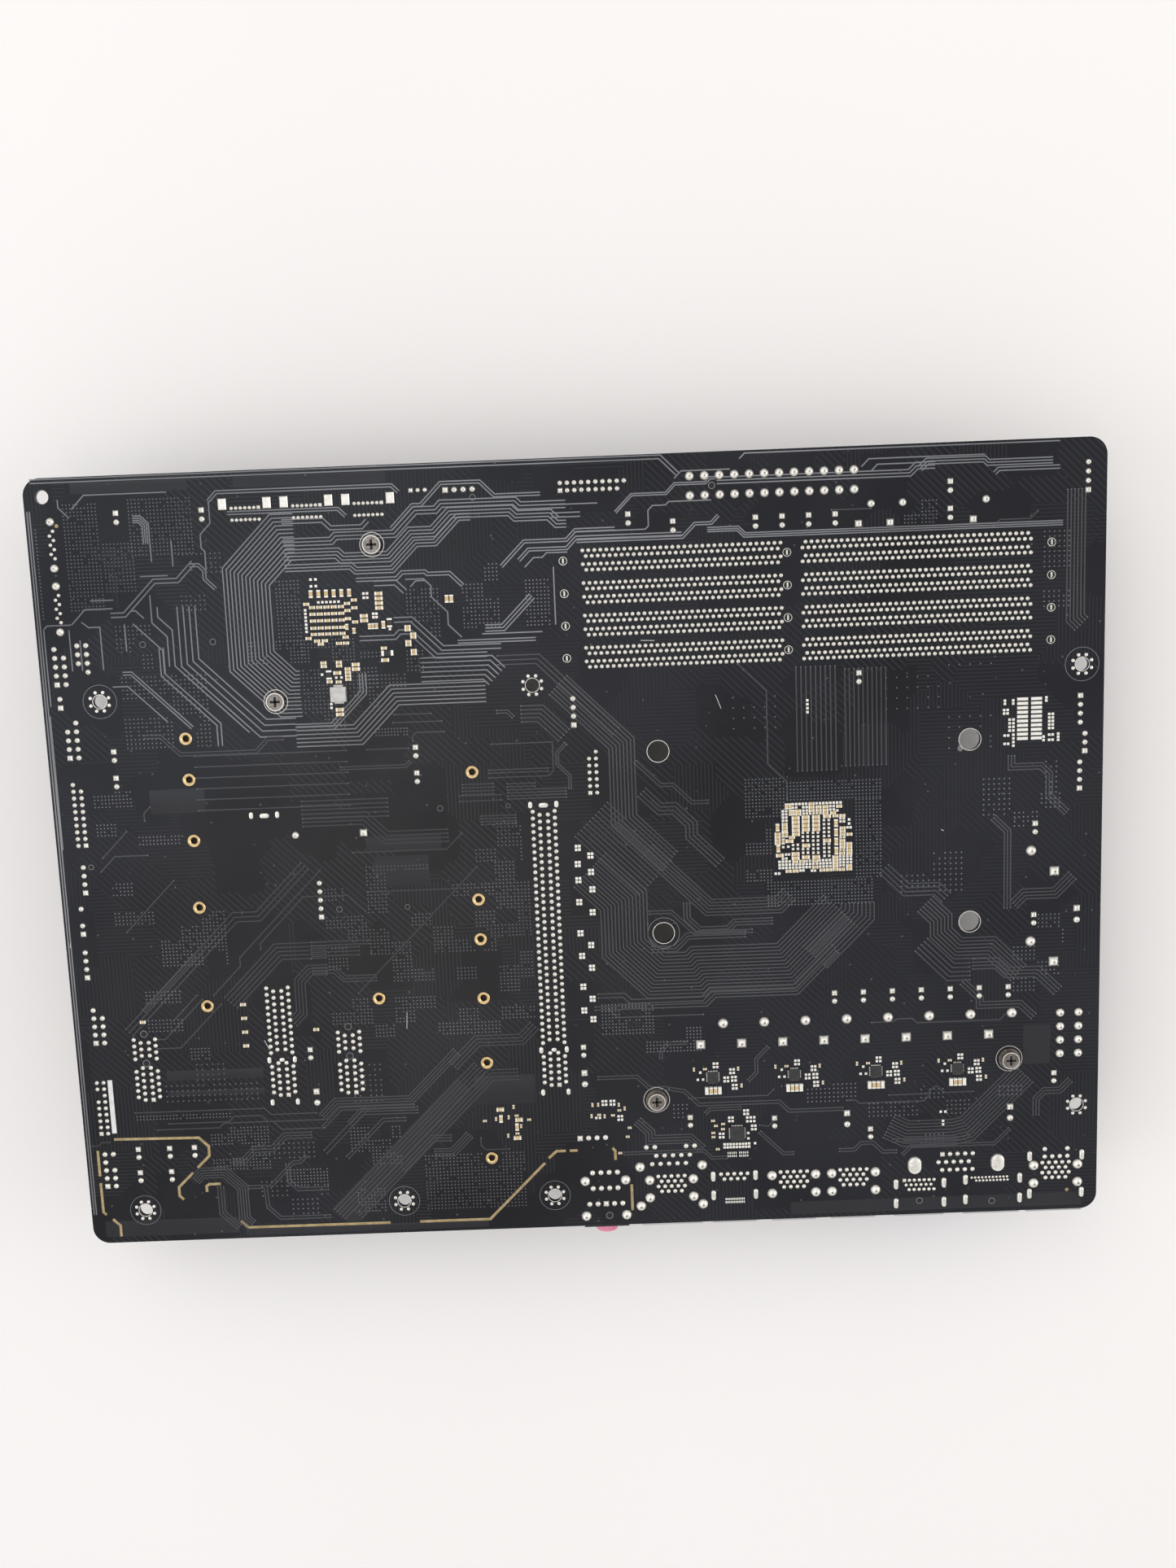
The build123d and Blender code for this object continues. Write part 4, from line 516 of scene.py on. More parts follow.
# Grids of plated holes: lowest and highest X and Y, pitch, and the share of places that hold one
VIA_GRIDS = (
    (-141.5, -131.4, 77, 107, 1.02, 0.86), (-131, -122, 82, 96, 1.02, 0.8),
    (-123, -105.5, 92, 107.5, 1.02, 0.78), (-129, -105, 37, 58, 1.2, 0.62),
    (-129.5, -119, 60, 73, 1.2, 0.5), (-110, -98, 76, 92, 1.3, 0.4), (-140, -129, 7.5, 25, 1.05, 0.5),
    (-128, -115, 8.7, 10.9, 1.05, 1.0), (-149.8, -149, 75, 100, 1.0, 0.8), (-92, -62, 60, 66, 1.0, 0.55),
    (-83, -76, 62, 84, 1.05, 0.6), (-78, -56, 41, 58, 1.1, 0.4), (-46, -37, 66, 80, 1.1, 0.5),
    (-30, -20, 68, 86, 1.1, 0.45), (-12, -5, 68, 81, 1.05, 0.7), (-60, -42, 52, 62, 1.1, 0.35),
    (-58, -48, 38, 40.4, 0.9, 0.5), (-30, -16, 0, 11, 1.1, 0.6), (-75, -15, -52, 0, 1.05, 0.3),
    (-137, -125, -15, -2, 1.1, 0.4), (-124, -105, -28, -10, 1.05, 0.4), (-130, -120, -48, -30, 1.1, 0.35),
    (-118, -105, -57, -50, 1.05, 0.4), (49, 60, 10, 21, 1.0, 0.7), (61, 88.5, 14.6, 20, 1.0, 0.85),
    (55, 86, -16.6, -9, 0.98, 0.85), (81, 88.5, -9, 14, 1.0, 0.75), (49, 56, -9, 9, 1.0, 0.5),
    (100.5, 104.5, 92.5, 99, 1.0, 0.95), (95.6, 104, 92.5, 94.6, 1.0, 0.9), (135, 142, 62, 96, 1.4, 0.25),
    (118, 140, 8, 24, 1.5, 0.22), (127, 141, -6, 14, 1.3, 0.25), (94, 112, -14, 10, 1.6, 0.18),
    (127, 142, -50, -20, 1.2, 0.2), (5, 20, -58, -45, 1.0, 0.3), (-50, -20, -107, -90, 1.06, 0.7),
    (-71, -63, -107, -100, 1.0, 0.6), (-72, -57, -92, -80, 1.05, 0.45), (-114, -97, -92, -78.6, 1.0, 0.5),
    (-136, -108, -75.4, -74.4, 1.0, 0.8), (-100, -82, -107, -78, 1.5, 0.25),
    (-92, -80, -98, -92.6, 1.0, 0.6), (12, 34, -60, -50, 1.0, 0.3), (2, 30, -86, -70, 1.3, 0.18),
    (50, 80, -93, -72, 1.3, 0.16), (84, 130, -93, -74, 1.3, 0.12), (28, 60, 24, 52, 3.0, 0.12),
    (90, 122, 4, 52, 3.0, 0.12), (-136, -98, -70, -58, 1.6, 0.12), (-70, -36, -72, -58, 1.6, 0.14),
)
VIA_SEED = 7

# Holes come in blocks of columns and rows: how much fuller than the share, and the fill of a block
VIA_BLOCK = (6, 4)
VIA_GAIN = 1.45
VIA_FILL = 0.92
HOLE_MARGIN = 1.5

# Bare copper lines near the sound parts
BARE_LINES = (
    ((-143.5, -81.3), (-118.0, -81.7), (-115.2, -84.5), (-115.2, -87.5), (-119.0, -91.2)),
    ((-120.5, -92.7), (-125.2, -97.2), (-125.2, -100.0), (-124.0, -101.2)),
    ((-148.8, -84.7), (-148.8, -92.8)),
    ((-148.8, -95.0), (-148.8, -104.3), (-147.9, -105.2)),
    ((-146.1, -106.7), (-144.0, -108.8), (-144.0, -112.3)),
    ((-116.8, -99.0), (-116.8, -97.2), (-116.0, -96.6), (-112.5, -96.6)),
    ((-107.3, -108.8), (-105.2, -110.9), (-61.8, -111.0)),
    ((-52.8, -111.0), (-31.4, -111.0), (-14.0, -93.7)),
    ((-12.8, -92.2), (-10.4, -90.1), (-7.6, -90.1)),
    ((-6.4, -90.1), (-4.0, -90.1)),
    ((6.5, -89.7), (7.3, -90.7), (7.3, -93.5)),
    ((11.9, -101.5), (11.9, -109.8)),
)
BARE_WIDTH = 0.8
BARE_HEIGHT = 0.06

# White bar: middle, width, depth, height and bevel
WHITE_BAR = (-143.2, -71.0, 1.4, 16.7, 0.04, 0.01)

# Sizes of chip parts: length, width and height
LARGE_PART = (2.2, 1.0, 0.95)
MIDDLE_PART = (1.65, 0.85, 0.7)
SMALL_PART = (1.1, 0.6, 0.45)

# Bare square pads: width, depth, height and bevel
SQUARE_PAD = (0.72, 0.72, 0.22, 0.1)

# Places of lying and upright parts by size
LARGE_LYING = (
    *grid(-53.9, 74.5, 1, 4, 0, 1.35), (-58.4, 72.4), (-58.4, 71.1), (-67.0, 56.5), (-53.1, 59.65),
    (-67.0, 45.95), (-67.0, 44.6), (-61.6, 58.7), (-61.6, 57.4), *grid(63.3, 4.5, 1, 5, 0, 1.2),
    *grid(66.2, 5.8, 1, 4, 0, 1.2), *grid(69.2, 5.8, 1, 4, 0, 1.2), (72.4, 9.5), (63.1, -1.35),
    (63.1, -2.55), (66.1, -2.4), (69.1, -2.5), (72.3, 2.3), (61.4, 2.55), (66.2, 1.05), (58.5, -1.6),
)
LARGE_UPRIGHT = (
    *grid(-73.1, 79.1, 6, 1, 2.18, 0), (-34.6, 76.3), (-33.3, 76.3), (-53.0, 69.7),
    *grid(75.0, -0.8, 1, 4, 0, 2.73), (58.0, 6.7), (58.1, 0.5),
)
MIDDLE_LYING = (
    *grid(-73.0, 67.7, 5, 2, 2.05, 1.75), *grid(-73.0, 71.5, 5, 3, 2.05, 1.9), (-74.6, 76.3), (-63.0, 76.1),
    (-61.0, 77.0), (-74.6, 66.6), (-63.0, 74.1), (-63.0, 71.8), (-61.0, 74.8), (-61.0, 70.8), (-72.2, 65.8),
    (-70.0, 65.8), (-71.2, 64.9), (-66.0, 64.9), (-64.0, 64.9), (-64.0, 66.6), (-53.3, 63.05),
    *grid(-70.8, 58.5, 1, 2, 0, 1.0), *grid(-66.4, 58.5, 1, 2, 0, 1.0), *grid(-64.0, 54.55, 1, 4, 0, 1.0),
    (-66.8, 53.9), (-69.4, 54.05), *grid(-46.2, 68.0, 1, 2, 0, 0.9), *grid(-44.7, 65.85, 1, 2, 0, 0.9),
    *grid(-46.2, 63.75, 1, 2, 0, 0.9), *grid(-44.8, 61.15, 1, 2, 0, 0.9),
    *grid(-101.4, -40.6, 1, 4, 0, -4.25), (-80.2, -49.1), (-131.6, -44.9),
    *grid(68.0, 11.3, 3, 2, 2.0, 1.0), (68.0, 13.3), (76.0, 12.3), *grid(64.1, 10.4, 1, 2, 0, 0.9),
    (72.0, 10.4), (74.2, 10.4), *grid(60.1, 5.6, 1, 3, 0, 0.95), *grid(58.0, 1.95, 1, 4, 0, 0.93),
    (62.2, 3.6), (74.9, 9.5), *grid(74.7, -6.4, 1, 5, 0, 0.93), (76.9, 9.5),
    *grid(76.9, 3.9, 1, 3, 0, 0.95), *grid(76.8, 0.2, 1, 3, 0, 0.93), (76.7, -1.65), (76.6, -6.45),
    (78.9, 3.9), *grid(78.8, -1.75, 1, 4, 0, 0.95), *grid(78.7, -6.4, 1, 2, 0, 0.95),
    *grid(63.0, -3.6, 2, 1, 2.0, 0), (68.85, -3.6), (68.8, -5.5), *grid(61.0, -6.45, 2, 1, 2.0, 0),
    *grid(70.9, -6.45, 2, 1, 1.9, 0),
)
MIDDLE_UPRIGHT = (
    (-57.0, 69.4), (-56.0, 69.4), (-55.0, 69.4), (-63.5, 69.5), (-61.5, 68.3), (60.7, 12.8), (61.7, 12.8),
    (61.8, 10.9), (62.7, 10.9), (59.6, 4.5), (60.6, 4.5), (59.6, 2.5),
)
PAD_PLACES = (
    *grid(-73.0, 81.3, 2, 2, 1.4, 1.9), *grid(-71.2, 76.7, 6, 1, 1.15, 0),
    *grid(-75.1, 68.5, 1, 7, 0, 1.02), *grid(-58.2, 77.5, 2, 2, 1.0, 1.2),
    *grid(-55.8, 71.9, 2, 2, 0.9, 1.0), (-51.3, 68.4), *grid(-67.5, 55.15, 2, 1, 1.5, 0), (-71.5, 56.15),
    (-69.4, 47.6), (-69.4, 46.5), *grid(67.3, 40.0, 1, 4, 0, 1.13), *grid(62.6, 13.3, 5, 1, 0.98, 0),
    *grid(69.5, 13.3, 8, 1, 1.0, 0), *grid(62.6, 12.3, 2, 1, 1.0, 0), *grid(65.65, 11.3, 2, 2, 1.0, 1.0),
    *grid(73.5, 11.3, 2, 2, 1.0, 1.0), (75.5, 11.0), *grid(65.7, 10.4, 6, 1, 0.98, 0),
    *grid(59.7, 8.5, 2, 4, 1.0, 0.95), (59.6, 0.75), (61.1, 0.8), *grid(60.4, -1.5, 2, 1, 0.9, 0),
    *grid(59.5, -2.7, 2, 1, 1.0, 0), *grid(65.4, 2.4, 2, 3, 1.4, 1.2), *grid(65.4, -1.2, 2, 2, 1.4, 1.13),
    *grid(68.4, -1.3, 2, 6, 1.4, 1.2), *grid(71.6, 3.55, 2, 5, 1.4, 1.18),
    *grid(71.6, -2.35, 2, 4, 1.4, 1.18), *grid(62.5, 0.05, 2, 2, 1.4, 1.2),
    *grid(76.4, 7.7, 2, 2, 1.0, 0.95), *grid(76.4, 3.0, 2, 1, 1.0, 0), *grid(76.3, -0.75, 2, 1, 1.0, 0),
    *grid(76.2, -5.4, 2, 4, 1.0, 0.93), (78.9, 8.2), (78.9, 7.0), *grid(78.4, 5.85, 2, 1, 0.9, 0),
    *grid(78.3, -4.5, 2, 3, 1.0, 0.93), *grid(58.45, -3.6, 4, 1, 1.0, 0), *grid(66.4, -3.6, 2, 1, 0.95, 0),
    *grid(70.2, -3.6, 4, 1, 1.0, 0), *grid(58.5, -4.55, 16, 1, 0.987, 0), *grid(58.5, -5.5, 10, 1, 0.98, 0),
    *grid(70.3, -5.5, 4, 1, 1.0, 0), *grid(64.5, -6.45, 2, 1, 0.9, 0), *grid(57.3, -7.1, 2, 1, 1.0, 0),
    *grid(67.9, -6.6, 2, 1, 0.9, 0),
)

# Pale resistors with a dark middle, as place, length, width and whether upright
RESISTOR_HEIGHT = 0.6
RESISTORS = ((-52.4, 61.6, 3.4, 1.5, False), (-69.5, 56.0, 2.6, 1.5, True), (-51.3, 70.2, 2.6, 1.4, True))

# Coupling parts along the bus: middles, pitch of four pads each, and their width, depth, height and bevel
COUPLING_PLACES = (
    (-0.3, 2.8), (3.3, 0.4), (-0.5, -2.0), (3.3, -4.5), (-0.5, -6.8), (3.5, -9.7), (-0.5, -13.4),
    (3.3, -16.6), (-0.5, -22.8), (2.5, -26.5), (-0.3, -29.7), (2.5, -33.4), (-0.3, -39.1), (2.3, -42.9),
    (-0.3, -46.4), (2.3, -49.2),
)
COUPLING_PITCH = (0.96, 1.04)
COUPLING_PAD = (0.76, 0.8, 0.3, 0.12)

# Two columns of wide pads: places, count, and width, depth, height and bevel
BAR_COLUMNS = (129.1, 133.1)
BAR_FIRST = 41.4
BAR_PITCH = 1.27
BAR_COUNT = 10
BAR_PAD = (3.1, 0.85, 0.3, 0.12)

# Driver clusters: offsets of parts round each driver chip
DRIVER_CAPS = (-0.65, 0.65)
DRIVER_PALE_CAPS = (-1.95, 1.95)
DRIVER_CAP_DROP = 4.1
DRIVER_LYING = ((-2.3, 2.6),)
DRIVER_UPRIGHT = ((-5.6, 2.6), (7.6, 2.4), (8.5, -2.9))
DRIVER_QUADS = ((0.9, 3.6), (4.0, -0.9), (5.8, 1.6), (6.3, -0.8), (6.5, -3.3))
DRIVER_PADS = ((-3.7, 1.5), (-4.5, -0.7), (-2.9, -0.7))

# Clusters round the controller, the sound parts and the left rear corner
CLUSTER_LYING = (
    (37.0, -82.2), (37.8, -83.8), (40.0, -83.3), (39.9, -84.9), (37.0, -86.0), (37.0, -87.3), (38.2, -91.2),
    (9.0, -77.8), (2.9, -79.0), (7.0, -79.3), (11.9, -83.4), (11.2, -86.2), (8.8, -91.3),
    (-21.9, -78.3), (-18.2, -79.7), (-31.5, -79.6), (-21.9, -83.9),
)
CLUSTER_UPRIGHT = (
    (1.0, -75.8), (2.7, -75.8), (8.9, -76.0), (10.6, -77.3), (0.6, -79.3), (4.5, -79.5), (-22.7, -75.5),
    (-28.1, -79.1), (-24.3, -78.7), (-20.7, -81.6), (-24.7, -84.5),
)
CLUSTER_QUADS = (
    (47.0, -79.9), (49.2, -84.8), (42.4, -82.0), (39.5, -87.0), (4.6, -75.4), (7.0, -75.4), (9.2, -80.3),
)
CLUSTER_PADS = (
    *grid(47.3, -82.8, 3, 2, 1.05, 1.2), *grid(40.3, -90.8, 9, 2, 0.925, 1.0), (49.5, -89.8), (47.5, -86.5),
    (47.5, -88.2), (2.0, -80.0), (3.1, -80.0), (105.4, -82.0), (106.8, -82.0), (106.1, -84.9),
    (106.1, -86.0), *grid(124.0, 40.2, 2, 2, 2.4, 0.9), *grid(123.8, 37.4, 2, 2, 1.0, 1.0),
    *grid(125.4, 32.4, 2, 4, 1.1, 1.06), *grid(124.0, 28.6, 2, 2, 1.0, 2.4),
    *grid(126.5, 28.0, 1, 4, 0, 1.05), *grid(135.9, 40.7, 1, 2, 0, 0.9),
    *grid(136.8, 32.7, 2, 5, 1.0, 1.02), *grid(136.8, 29.3, 2, 2, 1.0, 1.5),
    *grid(135.2, 29.3, 1, 2, 0, 1.0), *grid(139.4, 29.2, 1, 3, 0, 0.9),
)
LEFT_LARGE_LYING = ((-26.7, -76.1), (-21.2, -79.5), (-21.9, -85.2))
LEFT_LARGE_UPRIGHT = ((-26.6, -79.0), (-21.9, -81.7))
QUAD_PITCH = (1.0, 1.1)

# Combs of narrow pads: middle, columns and pitch, and each pad's width, depth, height and bevel
COMBS = ((42.5, -93.1, 5, 0.6), (46.0, -93.1, 5, 0.6), (43.05, -107.8, 12, 0.5))
COMB_PAD = (0.3, 0.62, 0.2, 0.06)
COMB_ROW = 0.5

# Leads round a chip: width and length, height and bevel, pitch, room for each, and reach past the edge
CHIP_LEAD = (0.26, 0.36)
CHIP_LEAD_RISE = (0.2, 0.05)
CHIP_LEAD_PITCH = 0.5
CHIP_LEAD_ROOM = 0.55
CHIP_LEAD_REACH = 0.12

# Printed circles as place and radius, copper dots, and scratches as two places
THIN_CIRCLES = (
    (-135.89, 50.8, 4.9), (-135.89, -104.14, 4.7), (-11.43, -104.14, 4.7), (146.05, 50.8, 4.9),
    (24.0, -23.7, 4.7), (-57.15, -104.14, 4.7),
)
THIN_CIRCLE_WIDTH = 0.14
THIN_CIRCLE_SIDES = 48
DARK_CIRCLE = (-29.9, 92.0, 2.3)
DARK_CIRCLE_WIDTH = 0.5
DARK_CIRCLE_SIDES = 32
COPPER_DOT_PROFILE = ((0.55, 0.0), (0.5, 0.04))
COPPER_DOT_SIDES = 16
COPPER_DOTS = ((-143.7, 100.9), (143.5, -108.2))
SCRATCHES = (
    ((-53.0, -45.0), (-53.3, -50.0)), ((-151.0, -19.0), (-151.2, -21.5)), ((41.0, 46.0), (42.5, 42.0)),
    ((105.7, 4.2), (106.4, 3.8)), ((-96.0, -52.0), (-94.6, -55.0)), ((20.0, 62.4), (24.0, 62.2)),
)
SCRATCH_WIDTH = 0.14
SCRATCH_HEIGHT = 0.02

# Screws: circle on the board round the head, a bright rim on the head that is a painted highlight, and a
# dark cross of painted shade in its recess
SCREW_CIRCLE = (0.6, 0.75)
SCREW_CIRCLE_HEIGHT = 0.07
SCREW_CIRCLE_SIDES = 36
SCREW_HIGHLIGHT = 2.55
SCREW_HIGHLIGHT_WIDTH = 0.22
SCREW_HIGHLIGHT_SPAN = (-0.02, 0.05)
SCREW_HIGHLIGHT_SIDES = 32
CROSS_LENGTH = 2.7
CROSS_WIDTH = 0.6
CROSS_HEIGHT = 0.1
CROSS_DROP = 0.25

# Header pins under the board: side, length, bevel, pitch and count in a fan header
PIN_SIDE = 0.64
PIN_LENGTH = 8.5
PIN_BEVEL = 0.15
PIN_PITCH = 2.54
FAN_PINS = 4

# Pins in a shrouded header: columns, pitch, reach of the two rows, and side, length and bevel
SHROUD_COLUMNS = 10
SHROUD_PITCH = 2.0
SHROUD_ROW = 1.0
CONTACT_SIDE = 0.5
CONTACT_LENGTH = 6.5
CONTACT_BEVEL = 0.12

# Capacitor cans: share of the radius and height at the foot, then share and drop from the lid's top
CAN_FOOT = ((1.0, 0.0), (1.0, 0.9), (0.93, 1.1), (0.93, 1.4), (1.0, 1.7))
CAN_LID = ((1.0, 0.5), (0.93, 0.0), (0.82, 0.0), (0.8, 0.15))

# Cross in the lid: share of the radius, width, height and drop
CAN_CROSS_SHARE = 1.1
CAN_CROSS_WIDTH = 0.16
CAN_CROSS_HEIGHT = 0.03
CAN_CROSS_DROP = 0.15

# Round mark on the lid: share of the radius to its middle, share for its own radius, and its two drops
CAN_BADGE_PLACE = 0.45
CAN_BADGE_SHARE = 0.3
CAN_BADGE_DROPS = (0.14, 0.1)
CAN_BADGE_SIDES = 12

# Holes for the processor's pins: pitch, places along each side, reach of the empty middle and radius
SOCKET_PITCH = 1.0
SOCKET_PLACES = 35
SOCKET_EMPTY = 7.2
SOCKET_HOLE = 0.27
SOCKET_HOLE_SPAN = (-0.05, 0.01)
SOCKET_HOLE_SIDES = 6

# Floor: size in metres, two colours, scale and detail of drift and grain, relief and roughness
FLOOR_SIZE = 6.0
FLOOR_COLOURS = ((0.85, 0.82, 0.8), (0.88, 0.855, 0.835))
FLOOR_DRIFT = (2.2, 3.0)
FLOOR_GRAIN = (420.0, 5.0)
FLOOR_RELIEF = (0.12, 0.0004)
FLOOR_ROUGHNESS = 0.75

# Lights: name, place, size in metres, watts and colour. All aim at the part.
LIGHTS = (
    ("key", (-0.35, 0.85, 1.05), 0.9, 4.0, (1.0, 0.99, 0.97)),
    ("side", (-1.1, -0.25, 0.75), 0.9, 3.0, (0.96, 0.98, 1.0)),
    ("right", (1.1, 0.1, 0.45), 0.8, 4.0, (1.0, 0.99, 0.97)),
    ("window", (-0.34, 0.07, 1.05), 0.4, 0.4, (0.8, 0.9, 1.0)),
    ("lamp", (-0.18, -0.25, 1.05), 0.35, 0.3, (1.0, 0.84, 0.7)),
)
LIGHT_AIM = (0.0, 0.0, 0.0)

# Room: bright walls, dim ceiling, and the stretch of heights between them
WALLS = (1.0, 1.0, 1.0)
CEILING = (0.62, 0.62, 0.64)
WALL_TOP = 0.4
CEILING_EDGE = 0.78
ROOM_STRENGTH = 1.0


class Shape:
    """Points and faces of one piece, in millimetres on a face of the board."""

    def __init__(self):
        self.points = []
        self.faces = []

    def skin(self, rings, closed=False):
        """Join rings of points into a skin, capped at both ends or closed onto its first ring."""
        start = len(self.points)
        sides = len(rings[0])
        levels = len(rings)
        for ring in rings:
            self.points.extend(ring)
        for level in range(levels if closed else levels - 1):
            low = start + level * sides
            high = start + (level + 1) % levels * sides
            for side in range(sides):
                after = (side + 1) % sides
                self.faces.append((low + side, low + after, high + after, high + side))
        if not closed:
            self.faces.append(tuple(start + side for side in reversed(range(sides))))
            last = start + (levels - 1) * sides
            self.faces.append(tuple(last + side for side in range(sides)))


def ring(x, y, z, radius, sides, turn=0.0):
    """Points of a circle."""
    angles = [turn + 2 * math.pi * side / sides for side in range(sides)]
    return [(x + radius * math.cos(a), y + radius * math.sin(a), z) for a in angles]


def frame_ring(x, y, z, width, depth):
    """Points of a rectangle."""
    return [
        (x - width / 2, y - depth / 2, z),
        (x + width / 2, y - depth / 2, z),
        (x + width / 2, y + depth / 2, z),
        (x - width / 2, y + depth / 2, z),
    ]


def stadium(x, y, z, width, depth, sides=8):
    """Points of a slot with round ends, along its longer side."""
    radius = min(width, depth) / 2
    reach_x = width / 2 - radius
    reach_y = depth / 2 - radius
    points = []
    for side in range(2 * sides):
        angle = 2 * math.pi * (side + 0.5) / (2 * sides)
        cosine, sine = math.cos(angle), math.sin(angle)
        points.append((
            x + radius * cosine + math.copysign(reach_x, cosine),
            y + radius * sine + math.copysign(reach_y, sine),
            z,
        ))
    return points


def lathe(shape, x, y, profile, sides):
    """Turned form from pairs of radius and height, its last ring capped."""
    shape.skin([ring(x, y, z, radius, sides) for radius, z in profile])


def washer(shape, x, y, inner, outer, low, high, sides=ROUND_SIDES):
    """Flat ring."""
    shape.skin(
        [
            ring(x, y, low, outer, sides),
            ring(x, y, high, outer, sides),
            ring(x, y, high, inner, sides),
            ring(x, y, low, inner, sides),
        ],
        closed=True,
    )


def block(shape, x, y, width, depth, height, edge=0.0, base=0.0):
    """Block on the board with its upper edges bevelled."""
    shape.skin([
        frame_ring(x, y, base, width, depth),
        frame_ring(x, y, base + height - edge, width, depth),
        frame_ring(x, y, base + height, width - 2 * edge, depth - 2 * edge),
    ])


def shifted(points, distance):
    """The line that runs beside a bent line at a distance, with its corners mitred."""
    moved = []
    for index, (x, y) in enumerate(points):
        before = points[max(index - 1, 0)]
        after = points[min(index + 1, len(points) - 1)]
        normals = []
        for first, second in ((before, (x, y)), ((x, y), after)):
            run = math.hypot(second[0] - first[0], second[1] - first[1])
            if run > 0:
                normals.append(((first[1] - second[1]) / run, (second[0] - first[0]) / run))
        sum_x = sum(normal[0] for normal in normals)
        sum_y = sum(normal[1] for normal in normals)
        scale = len(normals) / (sum_x ** 2 + sum_y ** 2)
        moved.append((x + distance * sum_x * scale, y + distance * sum_y * scale))
    return moved


def ribbon(shape, points, width, height, slope=LINE_SLOPE):
    """Raised line with sloping sides along a bent line."""
    left = shifted(points, width / 2)
    right = shifted(points, -width / 2)
    left_top = shifted(points, width / 2 - slope)
    right_top = shifted(points, slope - width / 2)
    sections = []
    for index in range(len(points)):
        sections.append([
            (*left[index], 0.0),
            (*left_top[index], height),
            (*right_top[index], height),
            (*right[index], 0.0),
        ])
    shape.skin(sections)


def via(shape, x, y):
    """Plated hole under the mask."""
    lathe(shape, x, y, ((VIA_RADIUS, 0.0), (VIA_RADIUS * VIA_CROWN_SHARE, VIA_HEIGHT)), VIA_SIDES)


def lead_tip(leads, x, y, radius, height):
    """Tip of a lead that stands out of its joint."""
    lathe(leads, x, y, ((radius, height * LEAD_START_SHARE), (radius, height + LEAD_RISE)), LEAD_SIDES)


def joint(solder, leads, x, y, radius, sides=JOINT_SIDES):
    """Solder joint that flows up to the tip of a lead."""
    height = JOINT_RISE_SHARE * radius
    profile = [(share * radius, rise * height) for share, rise in JOINT_SHARES]
    lathe(solder, x, y, profile, sides)
    lead_tip(leads, x, y, LEAD_RADIUS_SHARE * radius, height)


def square_joint(solder, leads, x, y, side):
    """Joint on a square pad, which marks the first lead."""
    height = JOINT_RISE_SHARE * side / 2
    rings = [frame_ring(x, y, rise * height, share * side, share * side) for share, rise in JOINT_SHARES]
    solder.skin(rings)
    lead_tip(leads, x, y, LEAD_RADIUS_SHARE * side / 2, height)


def chip_part(bodies, ends, x, y, length, width, height, upright=False):
    """Ceramic part with a metal cap at each end, along X or upright along Y."""
    cap = CAP_SHARE * length
    for side in (-1, 1):
        offset = side * (length - cap) / 2
        if upright:
            block(ends, x, y + offset, width + CAP_PROUD, cap, height + CAP_PROUD, CAP_BEVEL)
        else:
            block(ends, x + offset, y, cap, width + CAP_PROUD, height + CAP_PROUD, CAP_BEVEL)
    middle = length - 2 * cap
    if upright:
        block(bodies, x, y, width, middle, height, CAP_BEVEL)
    else:
        block(bodies, x, y, middle, width, height, CAP_BEVEL)


def make(shape, name, material, body="board", under=False, replaced=()):
    """Turn a shape into a piece that rides on a body, and hide the CAD parts it replaces."""
    points = np.array(shape.points) * MM
    if under:
        points[:, 2] *= -1
    points += (MIDDLE.x, MIDDLE.y, UNDER if under else TOP)
    mesh = bpy.data.meshes.new(name)
    mesh.from_pydata(points.tolist(), [], shape.faces)
    skin = bmesh.new()
    skin.from_mesh(mesh)
    bmesh.ops.recalc_face_normals(skin, faces=skin.faces)
    skin.to_mesh(mesh)
    skin.free()
    mesh.shade_smooth()
    mesh.set_sharp_from_angle(angle=math.radians(SHARP_ANGLE))
    mesh.materials.append(material)
    piece = bpy.data.objects.new(name, mesh)
    bpy.context.scene.collection.objects.link(piece)
    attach(piece, body)
    if replaced:
        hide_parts(*replaced)
    return piece


def solids(node):
    """Boxes of the separate solids in a CAD node, in millimetres on the board, as low and high corners."""
    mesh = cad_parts[node].data
    places = {}
    names = []
    for vertex in mesh.vertices:
        key = tuple(round(value / MM, 2) for value in vertex.co)
        names.append(places.setdefault(key, len(places)))
    parents = list(range(len(places)))

    def root(item):
        while parents[item] != item:
            parents[item] = parents[parents[item]]
            item = parents[item]
        return item

    for polygon in mesh.polygons:
        corners = [names[index] for index in polygon.vertices]
        for corner in corners[1:]:
            parents[root(corner)] = root(corners[0])
    groups = {}
    for key, item in places.items():
        groups.setdefault(root(item), []).append(key)
    boxes = []
    for keys in groups.values():
        points = np.array(keys) - (MIDDLE.x / MM, MIDDLE.y / MM, TOP / MM)
        boxes.append((points.min(0), points.max(0)))
    return boxes


def centre(low, high):
    """Middle of a box along X and Y."""
    return (low[0] + high[0]) / 2, (low[1] + high[1]) / 2


def middles(node):
    """Middle and size along X and Y of each solid in a CAD node."""
    rows = []
    for low, high in solids(node):
        size = high - low
        rows.append((*centre(low, high), size[0], size[1]))
    return rows


def new_material(name):
    """Empty material and its shader, nodes and links."""
    material = bpy.data.materials.new(name)
    material.use_nodes = True
    tree = material.node_tree
    return material, tree.nodes["Principled BSDF"], tree.nodes, tree.links


def noise(nodes, links, scale, detail=4.0):
    """Noise in the frame's metres."""
    place = nodes.new("ShaderNodeTexCoord")
    texture = nodes.new("ShaderNodeTexNoise")
    texture.inputs["Scale"].default_value = scale
    texture.inputs["Detail"].default_value = detail
    links.new(place.outputs["Object"], texture.inputs["Vector"])
    return texture


